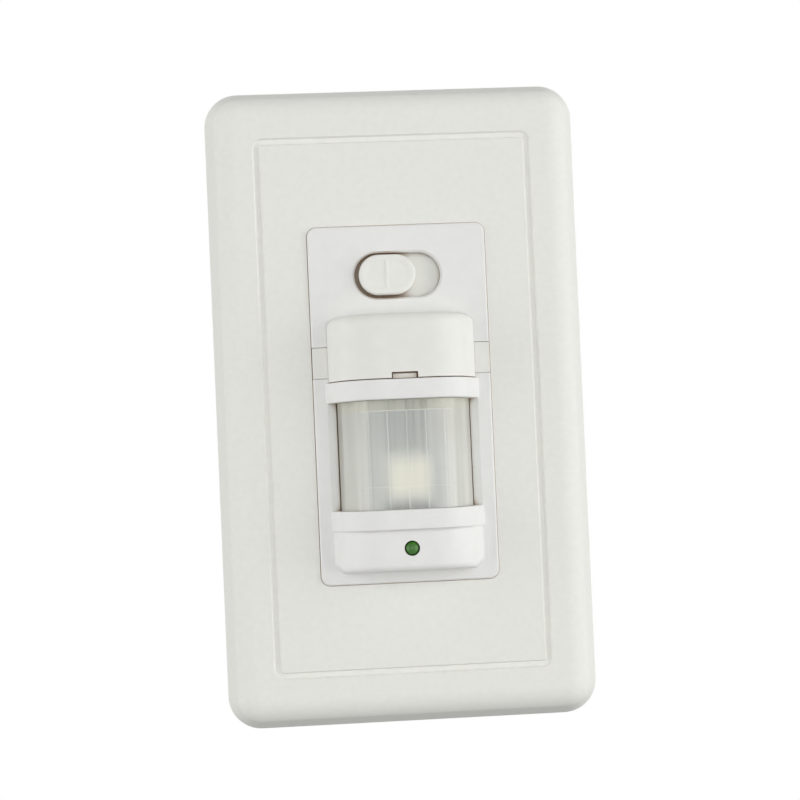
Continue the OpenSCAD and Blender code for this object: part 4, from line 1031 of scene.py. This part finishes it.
# Behind the face: four bosses for the housing screws, two hooked rails for the shutter and four hinge lugs.
def fittingShells():
    root = fittings["root"]
    radius, hole, foot, end = fittings["boss"]
    profile = [(0, end), (hole, end), (hole, foot), (radius, foot), (radius, root), (0, root)]
    bossX, bossY = fittings["bossAt"]
    half, clear, thick, lap, deep = fittings["rail"]
    tall, shutterBack = knob["shutter"][1:3]
    near, top, slideUp = tall + clear, shutterBack - clear, knob["at"][1]
    place, armHalf = cover["arm"][:2]
    wide, gap = fittings["lug"][2:]
    shells = []
    for way in (-1, 1):
        rail = sorted([slideUp + way * near, slideUp + way * (near + thick)])
        hook = sorted([slideUp + way * (near - lap), slideUp + way * (near + thick + 0.01)])
        shells.append(slabShell(half, *rail, 0.05, top - 0.1, root, 0.03))
        shells.append(slabShell(half + 0.01, *hook, 0.05, top - deep, top, 0.03))
        for side in (-1, 1):
            shells.append(latheShell(profile, (side * bossX, way * bossY, 0), "z", 32))
            shells.append(lugShell(side * place + way * (armHalf + gap + wide / 2)))
    return shells


makePiece("bezelFittings", fittingShells(), "switch_body", "bezel_white", "sensor_bezel")


print("stage: lens")
lens = {
    "outline": (12.3, 5.8, 7.7, 4.15),
    "base": faceOut,
    "foot": faceOut - 2.4,
    "wall": 0.9,
    "ends": (-19.55, 0.45),
    "seams": (-7.0, -3.5, 0.0, 3.5, 7.0),
    "levels": (-15.4, -1.5),
    "seamWide": 0.16,
    "seamDeep": 0.03,
    "levelHalf": 9.5,
    "flange": (13.8, faceOut - 2.5, faceOut - 1.7),  # reach, back and front
    "sharp": 50.0,  # degrees above which an edge is sharp, so that the seams stay soft
}


# Lens surface: points along the dome's outline, carried up the window; seams are shallow valleys outside.
def lensShells():
    outline, base = lens["outline"], lens["base"]
    half, flat = outline[:2]
    wide, thin = lens["seamWide"], lens["wall"]
    marks = wide * np.array([-1, -0.5, 0, 0.5, 1])
    across = gridLines(
        np.linspace(-flat, flat, 25),
        bothSides(np.linspace(flat, half - 0.02, 26)),
        np.add.outer(lens["seams"], marks).ravel(),
    )
    up = gridLines(np.linspace(*lens["ends"], 26), np.add.outer(lens["levels"], marks).ravel())
    x, y = np.meshgrid(across, up)
    side = np.abs(x)
    valley = np.zeros(x.shape)
    for seam in lens["seams"]:
        valley = np.maximum(valley, 1 - np.clip(np.abs(x - seam) / wide, 0, 1))
    for level in lens["levels"]:
        line = 1 - np.clip(np.abs(y - level) / wide, 0, 1)
        valley = np.maximum(valley, line * (side < lens["levelHalf"]))
    outer = base + np.maximum(domeHeight(side, *outline), 0)
    inner = base + np.maximum(domeHeight(side * half / (half - thin), *outline) - thin, 0)
    sheets = []
    for sheetX, out in ((x, outer - lens["seamDeep"] * valley), (x * (half - thin) / half, inner)):
        points = np.stack([sheetX, y, out], axis=-1)
        first, last = points[:, :1].copy(), points[:, -1:].copy()
        first[..., 2] = lens["foot"]
        last[..., 2] = lens["foot"]
        sheets.append(np.concatenate([first, points, last], axis=1))
    shells = [sheetPair(*sheets)]
    reach, back, front = lens["flange"]
    for middle in (-(reach + half) / 2, (reach + half) / 2):
        shells.append(slabShell((reach - half) / 2 + 0.2, *lens["ends"], 0.2, back, front, 0.1, middle))
    return shells


makePiece("frostedLens", lensShells(), "switch_body", "lens_frosted", "fresnel_lens", sharp=lens["sharp"])


print("stage: lamp")
lamp = {
    "radius": 1.35,
    "flange": 1.75,
    "at": -26.7,
    "back": faceOut + 4.9,
    "step": faceOut + 5.9,
    "shoulder": faceOut + 7.3,
    "front": faceOut + 8.3,
    "lead": (1.27, 0.3, -0.9),  # place, radius and foot on the board
}


# The lamp as bodies of revolution: flange, barrel and a spherical end, and two leads down to the board.
def lampShells():
    radius, rise, up = lamp["radius"], lamp["front"] - lamp["shoulder"], lamp["at"]
    ball = (radius**2 + rise**2) / (2 * rise)
    turn = np.linspace(math.asin(radius / ball), 0, 12)
    dome = np.stack([ball * np.sin(turn), lamp["front"] - ball + ball * np.cos(turn)], axis=-1)
    flange, back, step = lamp["flange"], lamp["back"], lamp["step"]
    foot = [(0, back), (flange, back), (flange, step), (radius, step)]
    shells = [latheShell(np.concatenate([foot, dome]), (0, up, 0), "z")]
    aside, wire, start = lamp["lead"]
    for place in (-aside, aside):
        shells.append(rodShell(wire, start, back + 0.3, (place, up, 0), "z", 16))
    return shells


makePiece("indicatorLamp", lampShells(), "switch_body", "lamp_green", "indicator_lamp")


print("stage: carried-over nodes")
for part in frame["record"]["subparts"]:
    node = frame["nodes"].get(part["node"])
    if node is not None and node.data:
        node.data.materials.clear()
        node.data.materials.append(looks[part["material_slot"]])


print("stage: floor, light and camera")
studio = {
    "floor": -0.75,
    "floorHalf": 3.0,
    "floorLift": 0.9,
    "ambient": (0.255, 0.254, 0.25),
    "right": {"at": (1.2, -0.5, 0.02), "size": 1.4, "power": 13.2},
    "left": {"at": (-1.2, -0.38, 0.02), "size": 1.4, "power": 10.2},
    "front": {"at": (0.05, -1.3, 0.1), "size": 1.2, "power": 5.95},
}
view = {
    "pitch": -0.8497,  # degrees, from the fitted viewpoint
    "yaw": -3.9131,
    "roll": -2.5267,
    "offset": (-2.109, -7.282, 342.6),  # the origin seen from the camera: millimetres right, down and away
    "lens": 81.0,
    "shift": (-0.0149, 0.0538),
}


# 1 for the rays that show the background: from the camera, from reflections and through the lens.
def seenRays(tree):
    path = addNode(tree, "LightPath", {}).outputs
    seen = mathNode(tree, "MAXIMUM", path["Is Camera Ray"], path["Is Glossy Ray"])
    return mathNode(tree, "MAXIMUM", seen, path["Is Transmission Ray"])


# A pale floor that those rays see lifted to white where no shadow falls.
def makeFloor():
    half = studio["floorHalf"]
    mesh = bpy.data.meshes.new("floor")
    corners = [(-half, -half), (half, -half), (half, half), (-half, half)]
    mesh.from_pydata([(x, y, studio["floor"]) for x, y in corners], [], [(0, 1, 2, 3)])
    obj = bpy.data.objects.new("floor", mesh)
    bpy.context.scene.collection.objects.link(obj)
    material, tree, shader, place = startMaterial("floorPale")
    feed(shader, {
        "Base Color": rampNode(tree, noiseNode(tree, place, 3.0), (124, 124, 122), (120, 120, 118)),
        "Roughness": 0.9,
        "Emission Color": (1, 1, 1, 1),
        "Emission Strength": mathNode(tree, "MULTIPLY", seenRays(tree), studio["floorLift"]),
    })
    mesh.materials.append(material)


# A soft square light that faces the part.
def makeLight(name, at, size, power):
    data = bpy.data.lights.new(name, "AREA")
    data.shape = "SQUARE"
    data.size = size
    data.energy = power
    obj = bpy.data.objects.new(name, data)
    away = np.array(at) / np.linalg.norm(at)
    side = np.cross((0, 0, 1), away)
    side = side / np.linalg.norm(side)
    matrix = np.eye(4)
    matrix[:3, :3] = np.stack([side, np.cross(away, side), away], axis=-1)
    matrix[:3, 3] = at
    obj.matrix_world = Matrix(matrix.tolist())
    bpy.context.scene.collection.objects.link(obj)


# White to the camera, to reflections and through the lens; an even dimmer light for the rest.
def makeWorld():
    world = bpy.data.worlds.new("studio")
    world.use_nodes = True
    tree = world.node_tree
    soft = tree.nodes["Background"]
    feed(soft, {"Color": (*studio["ambient"], 1)})
    white = addNode(tree, "Background", {"Color": (1, 1, 1, 1)})
    sides = {1: soft.outputs["Background"], 2: white.outputs["Background"]}
    mix = addNode(tree, "MixShader", {"Fac": seenRays(tree), **sides})
    feed(tree.nodes["World Output"], {"Surface": mix.outputs["Shader"]})
    bpy.context.scene.world = world


# A turn about one of three axes, by an angle in degrees.
def axisTurn(axis, degrees):
    angle = math.radians(degrees)
    first, second = (axis + 1) % 3, (axis + 2) % 3
    turn = np.eye(3)
    turn[first, first] = turn[second, second] = math.cos(angle)
    turn[second, first] = math.sin(angle)
    turn[first, second] = -math.sin(angle)
    return turn


# The camera: three turns of the (right, down, away) axes, then the origin's offset.
def makeCamera():
    drawn = np.array([[1, 0, 0], [0, 0, -1], [0, 1, 0]])
    turn = axisTurn(2, view["roll"]) @ axisTurn(0, view["pitch"]) @ axisTurn(1, view["yaw"]) @ drawn
    matrix = np.eye(4)
    matrix[:3, :3] = np.stack([turn[0], -turn[1], -turn[2]], axis=-1)
    matrix[:3, 3] = -turn.T @ np.array(view["offset"]) * mm
    data = bpy.data.cameras.new("camera")
    data.lens = view["lens"]
    data.sensor_width = 36.0
    data.shift_x, data.shift_y = view["shift"]
    data.clip_start = 0.01
    data.clip_end = 20.0
    camera = bpy.data.objects.new("camera", data)
    camera.matrix_world = Matrix(matrix.tolist())
    bpy.context.scene.collection.objects.link(camera)
    bpy.context.scene.camera = camera


makeFloor()
for lightName in ("right", "left", "front"):
    makeLight(lightName, **studio[lightName])
makeWorld()
makeCamera()
bpy.context.scene.view_settings.view_transform = "Standard"

print("stage: done")
